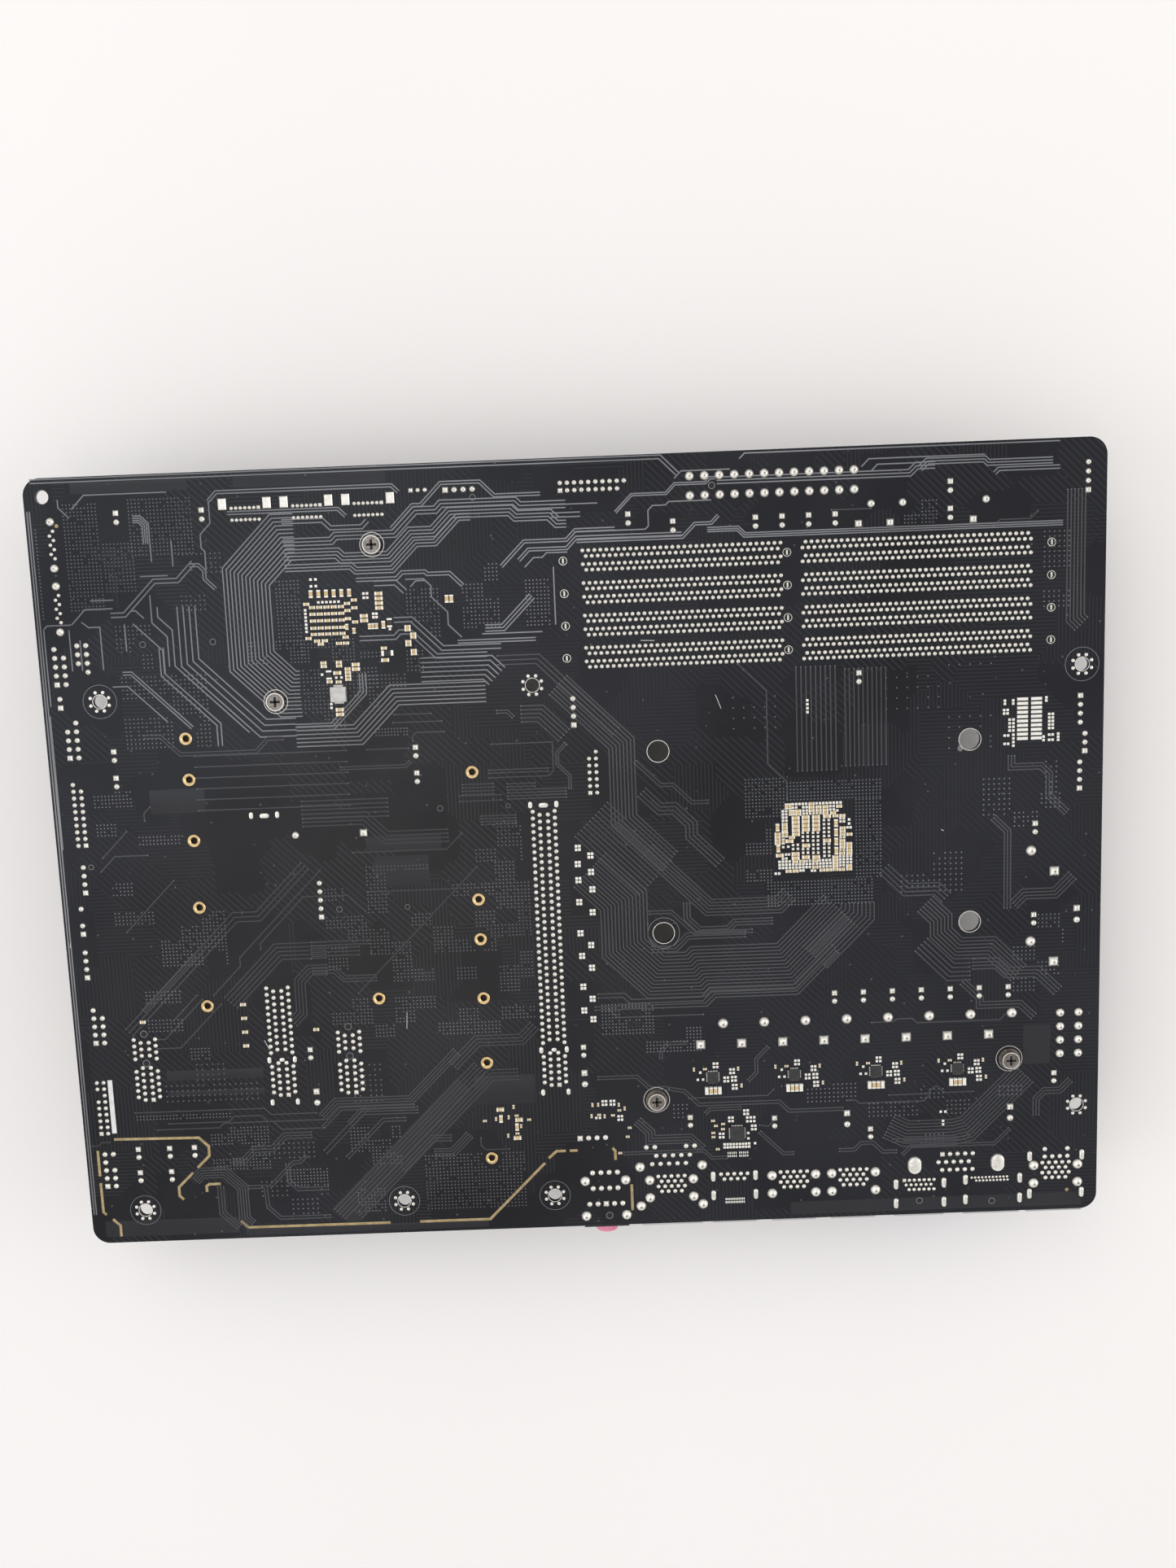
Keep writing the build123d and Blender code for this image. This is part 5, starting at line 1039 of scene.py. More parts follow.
def ramp(nodes, links, source, low, high, first, second):
    """Blend of two colours over a stretch of a grey value."""
    blend = nodes.new("ShaderNodeValToRGB")
    blend.color_ramp.elements[0].position = low
    blend.color_ramp.elements[1].position = high
    blend.color_ramp.elements[0].color = (*first, 1.0)
    blend.color_ramp.elements[1].color = (*second, 1.0)
    links.new(source, blend.inputs["Fac"])
    return blend.outputs["Color"]


def spread(nodes, links, source, low, high):
    """Grey value stretched to a range."""
    span = nodes.new("ShaderNodeMapRange")
    span.inputs["From Min"].default_value = NOISE_SPAN[0]
    span.inputs["From Max"].default_value = NOISE_SPAN[1]
    span.inputs["To Min"].default_value = low
    span.inputs["To Max"].default_value = high
    links.new(source, span.inputs["Value"])
    return span.outputs["Result"]


def bump(nodes, links, source, shader, strength, distance):
    """Small relief from a grey value."""
    relief = nodes.new("ShaderNodeBump")
    relief.inputs["Strength"].default_value = strength
    relief.inputs["Distance"].default_value = distance
    links.new(source, relief.inputs["Height"])
    links.new(relief.outputs["Normal"], shader.inputs["Normal"])


def surface(name, first, second, rough, metallic=0.0, scale=900.0, relief=0.15, depth=0.00005):
    """Finish that drifts between two colours and two roughnesses, with a fine relief."""
    material, shader, nodes, links = new_material(name)
    shader.inputs["Metallic"].default_value = metallic
    drift = noise(nodes, links, scale)
    colour = ramp(nodes, links, drift.outputs["Fac"], *DRIFT_SPAN, first, second)
    links.new(colour, shader.inputs["Base Color"])
    links.new(spread(nodes, links, drift.outputs["Fac"], *rough), shader.inputs["Roughness"])
    grain = noise(nodes, links, scale * GRAIN_STEP)
    bump(nodes, links, grain.outputs["Fac"], shader, relief, depth)
    return material


def blended(nodes, links, factor, first, second):
    """One colour over another by a grey factor."""
    blend = nodes.new("ShaderNodeMix")
    blend.data_type = "RGBA"
    links.new(factor, blend.inputs["Factor"])
    links.new(first, blend.inputs["A"])
    links.new(second, blend.inputs["B"])
    return blend.outputs["Result"]


def tinted(nodes, links, factor, first, tint):
    """One plain tint over a colour by a grey factor."""
    blend = nodes.new("ShaderNodeMix")
    blend.data_type = "RGBA"
    blend.inputs["B"].default_value = (*tint, 1.0)
    links.new(factor, blend.inputs["Factor"])
    links.new(first, blend.inputs["A"])
    return blend.outputs["Result"]


def copper_web(nodes, links):
    """Grey factor of fine lines under the mask, which run another way in each patch of the board."""
    place = nodes.new("ShaderNodeTexCoord")
    patches = nodes.new("ShaderNodeTexVoronoi")
    patches.distance = "CHEBYCHEV"
    patches.inputs["Scale"].default_value = WEB_PATCHES
    links.new(place.outputs["Object"], patches.inputs["Vector"])
    parts = nodes.new("ShaderNodeSeparateColor")
    links.new(patches.outputs["Color"], parts.inputs["Color"])
    stripes = []
    for direction in ("X", "Y", "DIAGONAL"):
        wave = nodes.new("ShaderNodeTexWave")
        wave.bands_direction = direction
        wave.inputs["Scale"].default_value = WEB_WAVES
        links.new(place.outputs["Object"], wave.inputs["Vector"])
        stripes.append(ramp(nodes, links, wave.outputs["Fac"], *WEB_STRIPE, BLACK, FULL))
    across = ramp(nodes, links, parts.outputs["Red"], *WEB_ACROSS, BLACK, FULL)
    slanted = ramp(nodes, links, parts.outputs["Green"], *WEB_SLANTED, BLACK, FULL)
    shown = ramp(nodes, links, parts.outputs["Blue"], *WEB_SHOWN, BLACK, FULL)
    level = blended(nodes, links, across, stripes[0], stripes[1])
    turned = blended(nodes, links, slanted, level, stripes[2])
    mask = nodes.new("ShaderNodeMix")
    mask.data_type = "RGBA"
    mask.inputs["A"].default_value = (*BLACK, 1.0)
    links.new(shown, mask.inputs["Factor"])
    links.new(turned, mask.inputs["B"])
    return mask.outputs["Result"]


def mask_material(name, dark, light, rough, web=None):
    """Solder mask with a haze of wiping marks, specks of dust, and fine copper in the web colour, if any."""
    material, shader, nodes, links = new_material(name)
    shader.inputs["Specular IOR Level"].default_value = MASK_GLOSS
    haze = noise(nodes, links, HAZE_SCALE, HAZE_DETAIL)
    colour = ramp(nodes, links, haze.outputs["Fac"], *HAZE_SPAN, dark, light)
    if web:
        colour = tinted(nodes, links, copper_web(nodes, links), colour, web)
    place = nodes.new("ShaderNodeTexCoord")
    dust = nodes.new("ShaderNodeTexVoronoi")
    dust.inputs["Scale"].default_value = DUST_SCALE
    links.new(place.outputs["Object"], dust.inputs["Vector"])
    speck = ramp(nodes, links, dust.outputs["Distance"], 0.0, DUST_SHARE, FULL, BLACK)
    links.new(tinted(nodes, links, speck, colour, DUST_COLOUR), shader.inputs["Base Color"])
    smear = noise(nodes, links, SMEAR_SCALE, HAZE_DETAIL)
    links.new(spread(nodes, links, smear.outputs["Fac"], *rough), shader.inputs["Roughness"])
    peel = noise(nodes, links, PEEL_SCALE)
    bump(nodes, links, peel.outputs["Fac"], shader, *PEEL_RELIEF)
    return material


MASK = mask_material(
    "solder_mask", (0.005, 0.0053, 0.0075), (0.0145, 0.015, 0.019), (0.2, 0.3), (0.02, 0.0206, 0.0245),
)
PLANE = mask_material("masked_plane", (0.017, 0.0173, 0.0205), (0.027, 0.0274, 0.0315), (0.22, 0.32))
# Copper under the mask is lighter than the mask; one copy is brightened as a painted highlight, the other
# darkened as painted shade
LIT_LINE = mask_material("masked_copper_painted_highlight", (0.14, 0.142, 0.152), (0.24, 0.243, 0.257), (0.3, 0.45))
SHADED_LINE = mask_material("masked_copper_painted_shade", (0.039, 0.0397, 0.0447), (0.066, 0.067, 0.0735), (0.25, 0.4))
VIA = mask_material("masked_via", (0.09, 0.093, 0.102), (0.17, 0.175, 0.185), (0.3, 0.45))
SOLDER = surface("solder", (0.76, 0.73, 0.65), (0.9, 0.875, 0.82), (0.3, 0.5), 0.8, 1500.0, 0.25)
LEAD = surface("lead_tip", (0.35, 0.32, 0.27), (0.55, 0.52, 0.46), (0.35, 0.55), 1.0, 1500.0)
CERAMIC = surface("ceramic", (0.5, 0.37, 0.19), (0.68, 0.53, 0.31), (0.4, 0.6), 0.0, 1200.0)
CAP_END = surface("cap_end", (0.82, 0.79, 0.7), (0.93, 0.91, 0.86), (0.35, 0.5), 0.35, 1500.0)
BRASS = surface("brass", (0.66, 0.47, 0.22), (0.83, 0.64, 0.36), (0.22, 0.4), 1.0, 1200.0)
TAN = surface("bare_copper", (0.36, 0.27, 0.13), (0.48, 0.37, 0.2), (0.35, 0.5), 0.6, 600.0)
WHITE = surface("white_ink", (0.6, 0.6, 0.58), (0.75, 0.75, 0.73), (0.5, 0.7), 0.0, 800.0)
BLACK_PLASTIC = surface(
    "black_plastic", (0.018, 0.018, 0.019), (0.032, 0.032, 0.034), (0.45, 0.65), 0.0, 700.0,
)
GREY_PLASTIC = surface("grey_plastic", (0.075, 0.075, 0.078), (0.11, 0.11, 0.112), (0.4, 0.6), 0.0, 700.0)
CHIP = surface("chip", (0.016, 0.016, 0.017), (0.03, 0.03, 0.031), (0.4, 0.6), 0.0, 1400.0, 0.3)
STEEL = surface("steel", (0.59, 0.59, 0.58), (0.65, 0.65, 0.635), (0.3, 0.36), 1.0, 400.0, 0.05)
SCREW_STEEL = surface("screw_steel", (0.2, 0.175, 0.155), (0.34, 0.305, 0.275), (0.28, 0.45), 1.0, 900.0)
GOLD = surface("gold", (0.75, 0.55, 0.22), (0.88, 0.68, 0.33), (0.2, 0.35), 1.0, 900.0)
HEATSINK = surface("heatsink", (0.115, 0.115, 0.12), (0.14, 0.14, 0.145), (0.4, 0.46), 0.85, 500.0, 0.08)
CHOKE = surface("choke", (0.1, 0.1, 0.103), (0.16, 0.16, 0.163), (0.55, 0.75), 0.2, 900.0, 0.35)
CAN = surface("can", (0.64, 0.64, 0.65), (0.7, 0.7, 0.71), (0.25, 0.31), 1.0, 500.0, 0.05)
CAN_MARK = surface("can_mark", (0.03, 0.03, 0.1), (0.05, 0.05, 0.14), (0.4, 0.5), 0.0, 500.0)
PAD = surface("thermal_pad", (0.4, 0.42, 0.45), (0.5, 0.52, 0.55), (0.7, 0.85), 0.0, 700.0)
SILVER = surface("choke_silver", (0.48, 0.47, 0.45), (0.6, 0.59, 0.56), (0.4, 0.55), 0.5, 900.0)
PINK = surface("jack_pink", (0.75, 0.2, 0.32), (0.82, 0.28, 0.4), (0.35, 0.5), 0.0, 600.0)
GREEN = surface("jack_green", (0.26, 0.55, 0.12), (0.34, 0.63, 0.18), (0.35, 0.5), 0.0, 600.0)
BLUE = surface("jack_blue", (0.12, 0.36, 0.68), (0.18, 0.44, 0.76), (0.35, 0.5), 0.0, 600.0)
VIDEO_BLUE = surface(
    "video_blue", (0.035, 0.09, 0.35), (0.043, 0.107, 0.385), (0.38, 0.44), 0.0, 600.0, 0.05,
)
# Near-black for painted shade in holes, bores and recesses, and for a dark ring on the board
SHADE_AND_RING_DARK = surface("painted_shade_and_dark_ring", (0.004, 0.004, 0.004), (0.008, 0.008, 0.008), (0.6, 0.8), 0.0, 900.0)

NODE_MATERIALS = {
    "circuit_board": MASK,
    "cpu_socket_base": GREY_PLASTIC,
    "cpu_socket_cover": GREY_PLASTIC,
    "cpu_socket_lever": STEEL,
    "card_posts": BRASS,
    "regulator_heatsink": HEATSINK,
    "chipset_heatsink": HEATSINK,
    "regulator_heatsink_screws": SCREW_STEEL,
    "chipset_heatsink_screws": SCREW_STEEL,
    "regulator_thermal_pad": PAD,
    "power_stages": CHIP,
    "chipset": CHIP,
    "control_chips": CHIP,
    "driver_chips": CHIP,
    "regulator_controller": CHIP,
    "power_chokes": CHOKE,
    "back_choke": SILVER,
    "coin_cell": STEEL,
    "network_port": STEEL,
    "slim_usb_port": STEEL,
    "usb_port_1": STEEL,
    "usb_port_2": STEEL,
    "first_digital_video_port": STEEL,
    "second_digital_video_port": STEEL,
    "mouse_port": STEEL,
    "analog_video_port": VIDEO_BLUE,
    "microphone_jack": PINK,
    "line_out_jack": GREEN,
    "line_in_jack": BLUE,
}


def dress_nodes():
    """Give every CAD node its finish."""
    for name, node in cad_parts.items():
        node.data.materials.clear()
        latch = "latch" in name or "clip" in name
        node.data.materials.append(NODE_MATERIALS.get(name, GREY_PLASTIC if latch else BLACK_PLASTIC))


def make_memory_joints():
    """Four rows of joints for each memory slot, and the pegs that lock the slot in the board, each with a
    dark disc of painted shade in its hole.
    """
    solder, leads, dark = Shape(), Shape(), Shape()
    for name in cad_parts:
        if not name.startswith("memory_slot"):
            continue
        slot_y = middles(name)[0][1]
        for index, offset in enumerate(MEMORY_ROWS):
            for first, count in MEMORY_RUNS[index % 2]:
                for step in range(count):
                    x = first + step * MEMORY_PITCH
                    joint(solder, leads, x, slot_y + offset, MEMORY_JOINT, MEMORY_JOINT_SIDES)
        for lock_x in MEMORY_LOCKS:
            washer(solder, lock_x, slot_y, LOCK_EYE, LOCK_RADIUS, 0.0, LOCK_RIM_HEIGHT)
            # Dark disc of painted shade in the lock's hole
            lathe(dark, lock_x, slot_y, ((LOCK_EYE, 0.0), (LOCK_EYE, DISC_HEIGHT)), LOCK_SIDES)
            solder.skin([stadium(lock_x, slot_y, *level) for level in LOCK_BLADE])
    make(solder, "memory_joints", SOLDER)
    make(leads, "memory_leads", LEAD)
    make(dark, "memory_lock_painted_shade", SHADE_AND_RING_DARK)


def oval_joint(solder, x, y, width, depth, rise):
    """Joint of a flat leg, crowned over a slot with round ends."""
    solder.skin([
        stadium(x, y, rise * level, width * wide, depth * deep) for level, wide, deep in OVAL_SHARES
    ])


def make_slot_joints(solder, leads, rims, dark):
    """Joints and pegs of the expansion slots."""
    for name, runs in SLOT_HEADS.items():
        slot_x = middles(name)[0][0]
        for column, offset in enumerate(SLOT_COLUMNS):
            inner = 1 if column in (1, 2) else 0
            for first, count in (runs[inner], SLOT_TAIL_RUNS[inner]):
                for step in range(count):
                    y = first - step * SLOT_PITCH
                    if column == 2 and first == SLOT_TAIL_RUNS[1][0] and step == count - 1:
                        square_joint(solder, leads, slot_x + offset, y, 2 * SLOT_JOINT)
                    else:
                        joint(solder, leads, slot_x + offset, y, SLOT_JOINT)
        if "long" in name:
            for y in SLOT_OVAL_ROWS:
                for side in (-1, 1):
                    oval_joint(solder, slot_x + side * SLOT_OVAL_REACH, y, *SLOT_OVAL, SLOT_OVAL_RISE)
            for y, width, depth in SLOT_MIDDLE_OVALS:
                oval_joint(solder, slot_x, y, width, depth, SLOT_OVAL_RISE)
        else:
            for y in SLOT_PEGS:
                peg_hole(rims, dark, slot_x, y, SLOT_PEG_RADIUS)


def peg_hole(rim, dark, x, y, radius):
    """Hole with a plastic peg deep inside, as a dark disc of painted shade in a grey rim."""
    eye = PEG_EYE_SHARE * radius
    washer(rim, x, y, eye, radius, 0.0, PEG_RIM_HEIGHT, PEG_SIDES)
    # Dark disc of painted shade inside the rim
    lathe(dark, x, y, ((eye, 0.0), (eye, DISC_HEIGHT)), PEG_SIDES)


def header_pins():
    """Places and pitch of all header pins, and whether each is a first pin."""
    for x, y, columns, rows, pitch, gap in HEADERS:
        for column in range(columns):
            for row in range(rows):
                if (column, row) == gap:
                    continue
                pin_x = x + (column - (columns - 1) / 2) * pitch
                pin_y = y + (row - (rows - 1) / 2) * pitch
                yield pin_x, pin_y, pitch, column == 0 and row == 0


def make_pin_joints():
    """Joints of the slots, headers, connectors and ports."""
    solder, leads, rims, dark = Shape(), Shape(), Shape(), Shape()
    make_slot_joints(solder, leads, rims, dark)
    for x, y, step_x, step_y, count, radius, square in PIN_ROWS:
        for index in range(count):
            place_x, place_y = x + index * step_x, y + index * step_y
            if index == square:
                square_joint(solder, leads, place_x, place_y, 2 * radius)
            else:
                joint(solder, leads, place_x, place_y, radius)
    for x, y, pitch, first in header_pins():
        radius = HEADER_JOINT_SHARE * pitch
        if first:
            square_joint(solder, leads, x, y, 2 * radius)
        else:
            joint(solder, leads, x, y, radius)
    rows = [(middle, *row) for middle in PORT_MIDDLES for row in PORT_ROWS]
    for middle, y, first, count in rows + list(SLIM_ROWS):
        for index in range(count):
            joint(solder, leads, middle + first + index * PORT_PITCH, y, PORT_JOINT)
    for x, y, radius in PEG_HOLES:
        peg_hole(rims, dark, x, y, radius)
    make(solder, "pin_joints", SOLDER)
    make(leads, "pin_leads", LEAD)
    make(rims, "peg_rims", LIT_LINE)
    make(dark, "peg_hole_painted_shade", SHADE_AND_RING_DARK)


def make_power_joints():
    """Large joints of the power connectors, chokes and capacitor cans."""
    solder, leads = Shape(), Shape()
    for low, high in solids("power_joints"):
        x, y = centre(low, high)
        wide = high[0] - low[0]
        if wide < 2 * POWER_JOINT:
            joint(solder, leads, x, y, POWER_JOINT, POWER_SIDES)
    for x, y, width, depth in middles("power_chokes"):
        reach_x, reach_y, size = CHOKE_LEADS[width > ROW_CHOKE_WIDTH]
        side = -1 if x > TURNED_CHOKE_X else 1
        joint(solder, leads, x + side * reach_x, y + reach_y, CHOKE_ROUND * size, POWER_SIDES)
        square_joint(solder, leads, x - side * reach_x, y - reach_y, CHOKE_SQUARE * size)
    for x, y, width, depth in middles("capacitor_cans"):
        reach, radius = CAN_LEADS[width > LARGE_CAN]
        square_joint(solder, leads, x, y + reach, CAN_SQUARE_SHARE * radius)
        joint(solder, leads, x, y - reach, radius, CAN_JOINT_SIDES)
    make(solder, "power_joint_domes", SOLDER, replaced=["power_joints"])
    make(leads, "power_lead_tips", LEAD)


def make_tab_joints():
    """Joints of the shells' legs."""
    solder, leads = Shape(), Shape()
    for x, y, width, depth in middles("shell_tab_joints"):
        if width > WIDE_TAB and depth > LONG_TAB:
            oval_joint(solder, x, y, width, depth, LONG_TAB_RISE)
        elif width > WIDE_TAB and x < FLAT_TAB_X:
            block(solder, x, y, width, depth, *FLAT_TAB)
        elif depth > STRETCHED_TAB * width:
            oval_joint(solder, x, y, width, depth, TAB_RISE)
        else:
            joint(solder, leads, x, y, width / 2, TAB_SIDES)
    make(solder, "shell_tab_domes", SOLDER, replaced=["shell_tab_joints"])
    make(leads, "shell_tab_tips", LEAD)


def make_hole_rings():
    """Pads round the mounting holes and bright rims round the cooler's holes."""
    pads = Shape()
    for x, y in MOUNT_HOLES:
        washer(pads, x, y, MOUNT_RADIUS, MOUNT_RADIUS + MOUNT_RIM, 0.0, RIM_HEIGHT)
        for index in range(MOUNT_PAD_COUNT):
            angle = 2 * math.pi * (index + 0.5) / MOUNT_PAD_COUNT
            pad_x = x + MOUNT_PAD_RING * math.cos(angle)
            pad_y = y + MOUNT_PAD_RING * math.sin(angle)
            profile = [(share * MOUNT_PAD, height) for share, height in MOUNT_PAD_PROFILE]
            lathe(pads, pad_x, pad_y, profile, MOUNT_PAD_SIDES)
    for x, y in COOLER_HOLES:
        washer(pads, x, y, COOLER_RADIUS, COOLER_RADIUS + COOLER_RIM, 0.0, RIM_HEIGHT, COOLER_SIDES)
    make(pads, "hole_pads", SOLDER)


def make_posts():
    """Brass posts with a bevelled rim, a chamfered mouth and a dark disc of painted shade deep in the bore.
    """
    brass, dark = Shape(), Shape()
    for x, y, width, depth in middles("card_posts"):
        brass.skin([ring(x, y, z, radius, ROUND_SIDES) for radius, z in POST_PROFILE], closed=True)
        # Painted shade deep in the bore
        lathe(dark, x, y, [(POST_BORE, z) for z in POST_SHADE], POST_SHADE_SIDES)
    make(brass, "card_post_rings", BRASS, replaced=["card_posts"])
    make(dark, "card_post_bore_shade", SHADE_AND_RING_DARK)


def open_holes():
    """Place and radius of each round hole, post and screw, with a margin."""
    rows = [(x, y, MOUNT_RADIUS) for x, y in MOUNT_HOLES]
    rows += [(x, y, COOLER_RADIUS) for x, y in COOLER_HOLES]
    rows += list(PEG_HOLES)
    for node in ("card_posts", "chipset_heatsink_screws", "regulator_heatsink_screws"):
        rows += [(x, y, width / 2) for x, y, width, depth in middles(node)]
    return [(x, y, radius + HOLE_MARGIN) for x, y, radius in rows]


def make_copper():
    """Lines, planes and plated holes under the mask."""
    holes = Shape()
    kept_off = open_holes()
    draw = random.Random(VIA_SEED)
    # Two copies of one copper colour: lines with a painted highlight and lines in painted shade
    for table, name, material in ((LIT_LINES, "copper_lines_painted_highlight", LIT_LINE), (SHADED_LINES, "copper_lines_painted_shade", SHADED_LINE)):
        lines = Shape()
        for layer, (points, count, pitch) in enumerate(table):
            for index in range(count):
                line = shifted(points, (index - (count - 1) / 2) * pitch)
                ribbon(lines, line, LINE_WIDTH, LINE_HEIGHT + layer * LAYER_STEP)
                via(holes, *line[0])
                via(holes, *line[-1])
        make(lines, name, material)
    planes = Shape()
    for layer, (points, width) in enumerate(PLANES):
        ribbon(planes, points, width, PLANE_HEIGHT + layer * LAYER_STEP)
    make(planes, "copper_planes", PLANE)
    for low_x, high_x, low_y, high_y, pitch, share in VIA_GRIDS:
        blocks = {}
        for column in range(int((high_x - low_x) / pitch) + 1):
            for row in range(int((high_y - low_y) / pitch) + 1):
                x, y = low_x + column * pitch, low_y + row * pitch
                clear = all(math.hypot(x - hole_x, y - hole_y) > reach for hole_x, hole_y, reach in kept_off)
                key = (column // VIA_BLOCK[0], row // VIA_BLOCK[1])
                filled = blocks.setdefault(key, draw.random() < share * VIA_GAIN)
                if draw.random() < VIA_FILL and filled and clear:
                    via(holes, x, y)
    make(holes, "vias", VIA)


def make_bare_lines():
    """Bare copper border and the white bar."""
    lines, bar = Shape(), Shape()
    for points in BARE_LINES:
        ribbon(lines, points, BARE_WIDTH, BARE_HEIGHT)
    block(bar, *WHITE_BAR)
    make(lines, "bare_copper_lines", TAN)
    make(bar, "white_bar", WHITE)


def quad(x, y, pitch):
    """Places of four pads round a middle."""
    return grid(x - pitch[0] / 2, y - pitch[1] / 2, 2, 2, *pitch)


def make_small_parts():
    """Ceramic parts and bare pads on the solder side."""
    bodies, ends, pads = Shape(), Shape(), Shape()
    small_lying = list(CLUSTER_LYING)
    small_upright = list(CLUSTER_UPRIGHT)
    quads = list(CLUSTER_QUADS)
    pad_places = [*PAD_PLACES, *CLUSTER_PADS]
    large_upright = [*LARGE_UPRIGHT, *LEFT_LARGE_UPRIGHT]
    for x, y, width, depth in middles("driver_chips"):
        large_upright += [(x + offset, y - DRIVER_CAP_DROP) for offset in DRIVER_CAPS]
        small_lying += [(x + along, y + across) for along, across in DRIVER_LYING]
        small_upright += [(x + along, y + across) for along, across in DRIVER_UPRIGHT]
        quads += [(x + along, y + across) for along, across in DRIVER_QUADS]
        pad_places += [(x + along, y + across) for along, across in DRIVER_PADS]
        for offset in DRIVER_PALE_CAPS:
            chip_part(ends, ends, x + offset, y - DRIVER_CAP_DROP, *LARGE_PART, True)
    for places, size, upright in (
        ((*LARGE_LYING, *LEFT_LARGE_LYING), LARGE_PART, False), (large_upright, LARGE_PART, True),
        (MIDDLE_LYING, MIDDLE_PART, False), (MIDDLE_UPRIGHT, MIDDLE_PART, True),
        (small_lying, SMALL_PART, False), (small_upright, SMALL_PART, True),
    ):
        for x, y in places:
            chip_part(bodies, ends, x, y, *size, upright)
    for x, y in quads:
        pad_places += quad(x, y, QUAD_PITCH)
    for x, y in pad_places:
        block(pads, x, y, *SQUARE_PAD)
    for x, y, columns, pitch in COMBS:
        first = x - (columns - 1) / 2 * pitch
        for along, across in grid(first, y - COMB_ROW, columns, 2, pitch, 2 * COMB_ROW):
            block(pads, along, across, *COMB_PAD)
    for x, y in COUPLING_PLACES:
        for along, across in quad(x, y, COUPLING_PITCH):
            block(pads, along, across, *COUPLING_PAD)
    for x in BAR_COLUMNS:
        for index in range(BAR_COUNT):
            block(pads, x, BAR_FIRST - index * BAR_PITCH, *BAR_PAD)
    dark = Shape()
    for x, y, length, width, upright in RESISTORS:
        chip_part(dark, ends, x, y, length, width, RESISTOR_HEIGHT, upright)
    make(dark, "resistor_bodies", CHIP)
    make(bodies, "ceramic_bodies", CERAMIC, replaced=["back_capacitors"])
    make(ends, "ceramic_ends", CAP_END)
    make(pads, "bare_pads", CAP_END)


def make_chip_leads():
    """Leads round the driver chips and the controller."""
    leads = Shape()
    lead_width, lead_length = CHIP_LEAD
    for node in ("driver_chips", "regulator_controller"):
        for x, y, width, depth in middles(node):
            count = int(width / CHIP_LEAD_ROOM)
            for index in range(count):
                along = (index - (count - 1) / 2) * CHIP_LEAD_PITCH
                for side in (-1, 1):
                    reach_x = side * (width / 2 + CHIP_LEAD_REACH)
                    reach_y = side * (depth / 2 + CHIP_LEAD_REACH)
                    block(leads, x + along, y + reach_y, lead_width, lead_length, *CHIP_LEAD_RISE)
                    block(leads, x + reach_x, y + along, lead_length, lead_width, *CHIP_LEAD_RISE)
    make(leads, "chip_leads", CAP_END)


def make_marks():
    """Thin circles round holes, a dark ring, circles round the screws, a painted highlight rim on each screw
    head and a cross of painted shade in its recess, copper dots and scratches.
    """
    circles, rims, dark, dots, scratches = Shape(), Shape(), Shape(), Shape(), Shape()
    for x, y, radius in THIN_CIRCLES:
        washer(circles, x, y, radius - THIN_CIRCLE_WIDTH, radius, 0.0, DISC_HEIGHT, THIN_CIRCLE_SIDES)
    x, y, radius = DARK_CIRCLE
    washer(dark, x, y, radius - DARK_CIRCLE_WIDTH, radius, 0.0, DISC_HEIGHT, DARK_CIRCLE_SIDES)
    for node in ("chipset_heatsink_screws", "regulator_heatsink_screws"):
        for low, high in solids(node):
            x, y = centre(low, high)
            reach = (high[0] - low[0]) / 2
            inner, outer = [reach + gap for gap in SCREW_CIRCLE]
            washer(rims, x, y, inner, outer, 0.0, SCREW_CIRCLE_HEIGHT, SCREW_CIRCLE_SIDES)
            bottom, top = [high[2] + level for level in SCREW_HIGHLIGHT_SPAN]
            # Bright rim on the head: a painted highlight
            washer(rims, x, y, SCREW_HIGHLIGHT - SCREW_HIGHLIGHT_WIDTH, SCREW_HIGHLIGHT, bottom, top, SCREW_HIGHLIGHT_SIDES)
            # Dark cross in the recess: painted shade
            for size in ((CROSS_LENGTH, CROSS_WIDTH), (CROSS_WIDTH, CROSS_LENGTH)):
                block(dark, x, y, *size, CROSS_HEIGHT, 0.0, high[2] - CROSS_DROP)
    for x, y in COPPER_DOTS:
        lathe(dots, x, y, COPPER_DOT_PROFILE, COPPER_DOT_SIDES)
    for points in SCRATCHES:
        ribbon(scratches, points, SCRATCH_WIDTH, SCRATCH_HEIGHT, SCRATCH_HEIGHT)
    make(circles, "thin_circles", LIT_LINE)
    make(dark, "dark_ring_and_recess_shade", SHADE_AND_RING_DARK)
    make(rims, "screw_pads_and_head_highlights", SOLDER)
    make(dots, "copper_dots", TAN)
    make(scratches, "scratches", WHITE)


def place_along(x, y, along, across, along_x):
    """Place from a connector's middle, along its longer side and across it."""
    return (x + along, y + across) if along_x else (x + across, y + along)


def make_under_pins():
    """Header pins, and the pins inside the fan headers and shrouded headers."""
    pins = Shape()
    for x, y, pitch, first in header_pins():
        block(pins, x, y, PIN_SIDE, PIN_SIDE, PIN_LENGTH, PIN_BEVEL)
    for low, high in solids("fan_headers"):
        x, y = centre(low, high)
        along_x = high[0] - low[0] > high[1] - low[1]
        for index in range(FAN_PINS):
            along = (index - (FAN_PINS - 1) / 2) * PIN_PITCH
            block(pins, *place_along(x, y, along, 0, along_x), PIN_SIDE, PIN_SIDE, PIN_LENGTH, PIN_BEVEL)
    for low, high in solids("shrouded_headers"):
        x, y = centre(low, high)
        along_x = high[0] - low[0] > high[1] - low[1]
        for column in range(SHROUD_COLUMNS):
            for side in (-1, 1):
                along = (column - (SHROUD_COLUMNS - 1) / 2) * SHROUD_PITCH
                place = place_along(x, y, along, side * SHROUD_ROW, along_x)
                block(pins, *place, CONTACT_SIDE, CONTACT_SIDE, CONTACT_LENGTH, CONTACT_BEVEL)
    make(pins, "header_pins", GOLD, under=True)


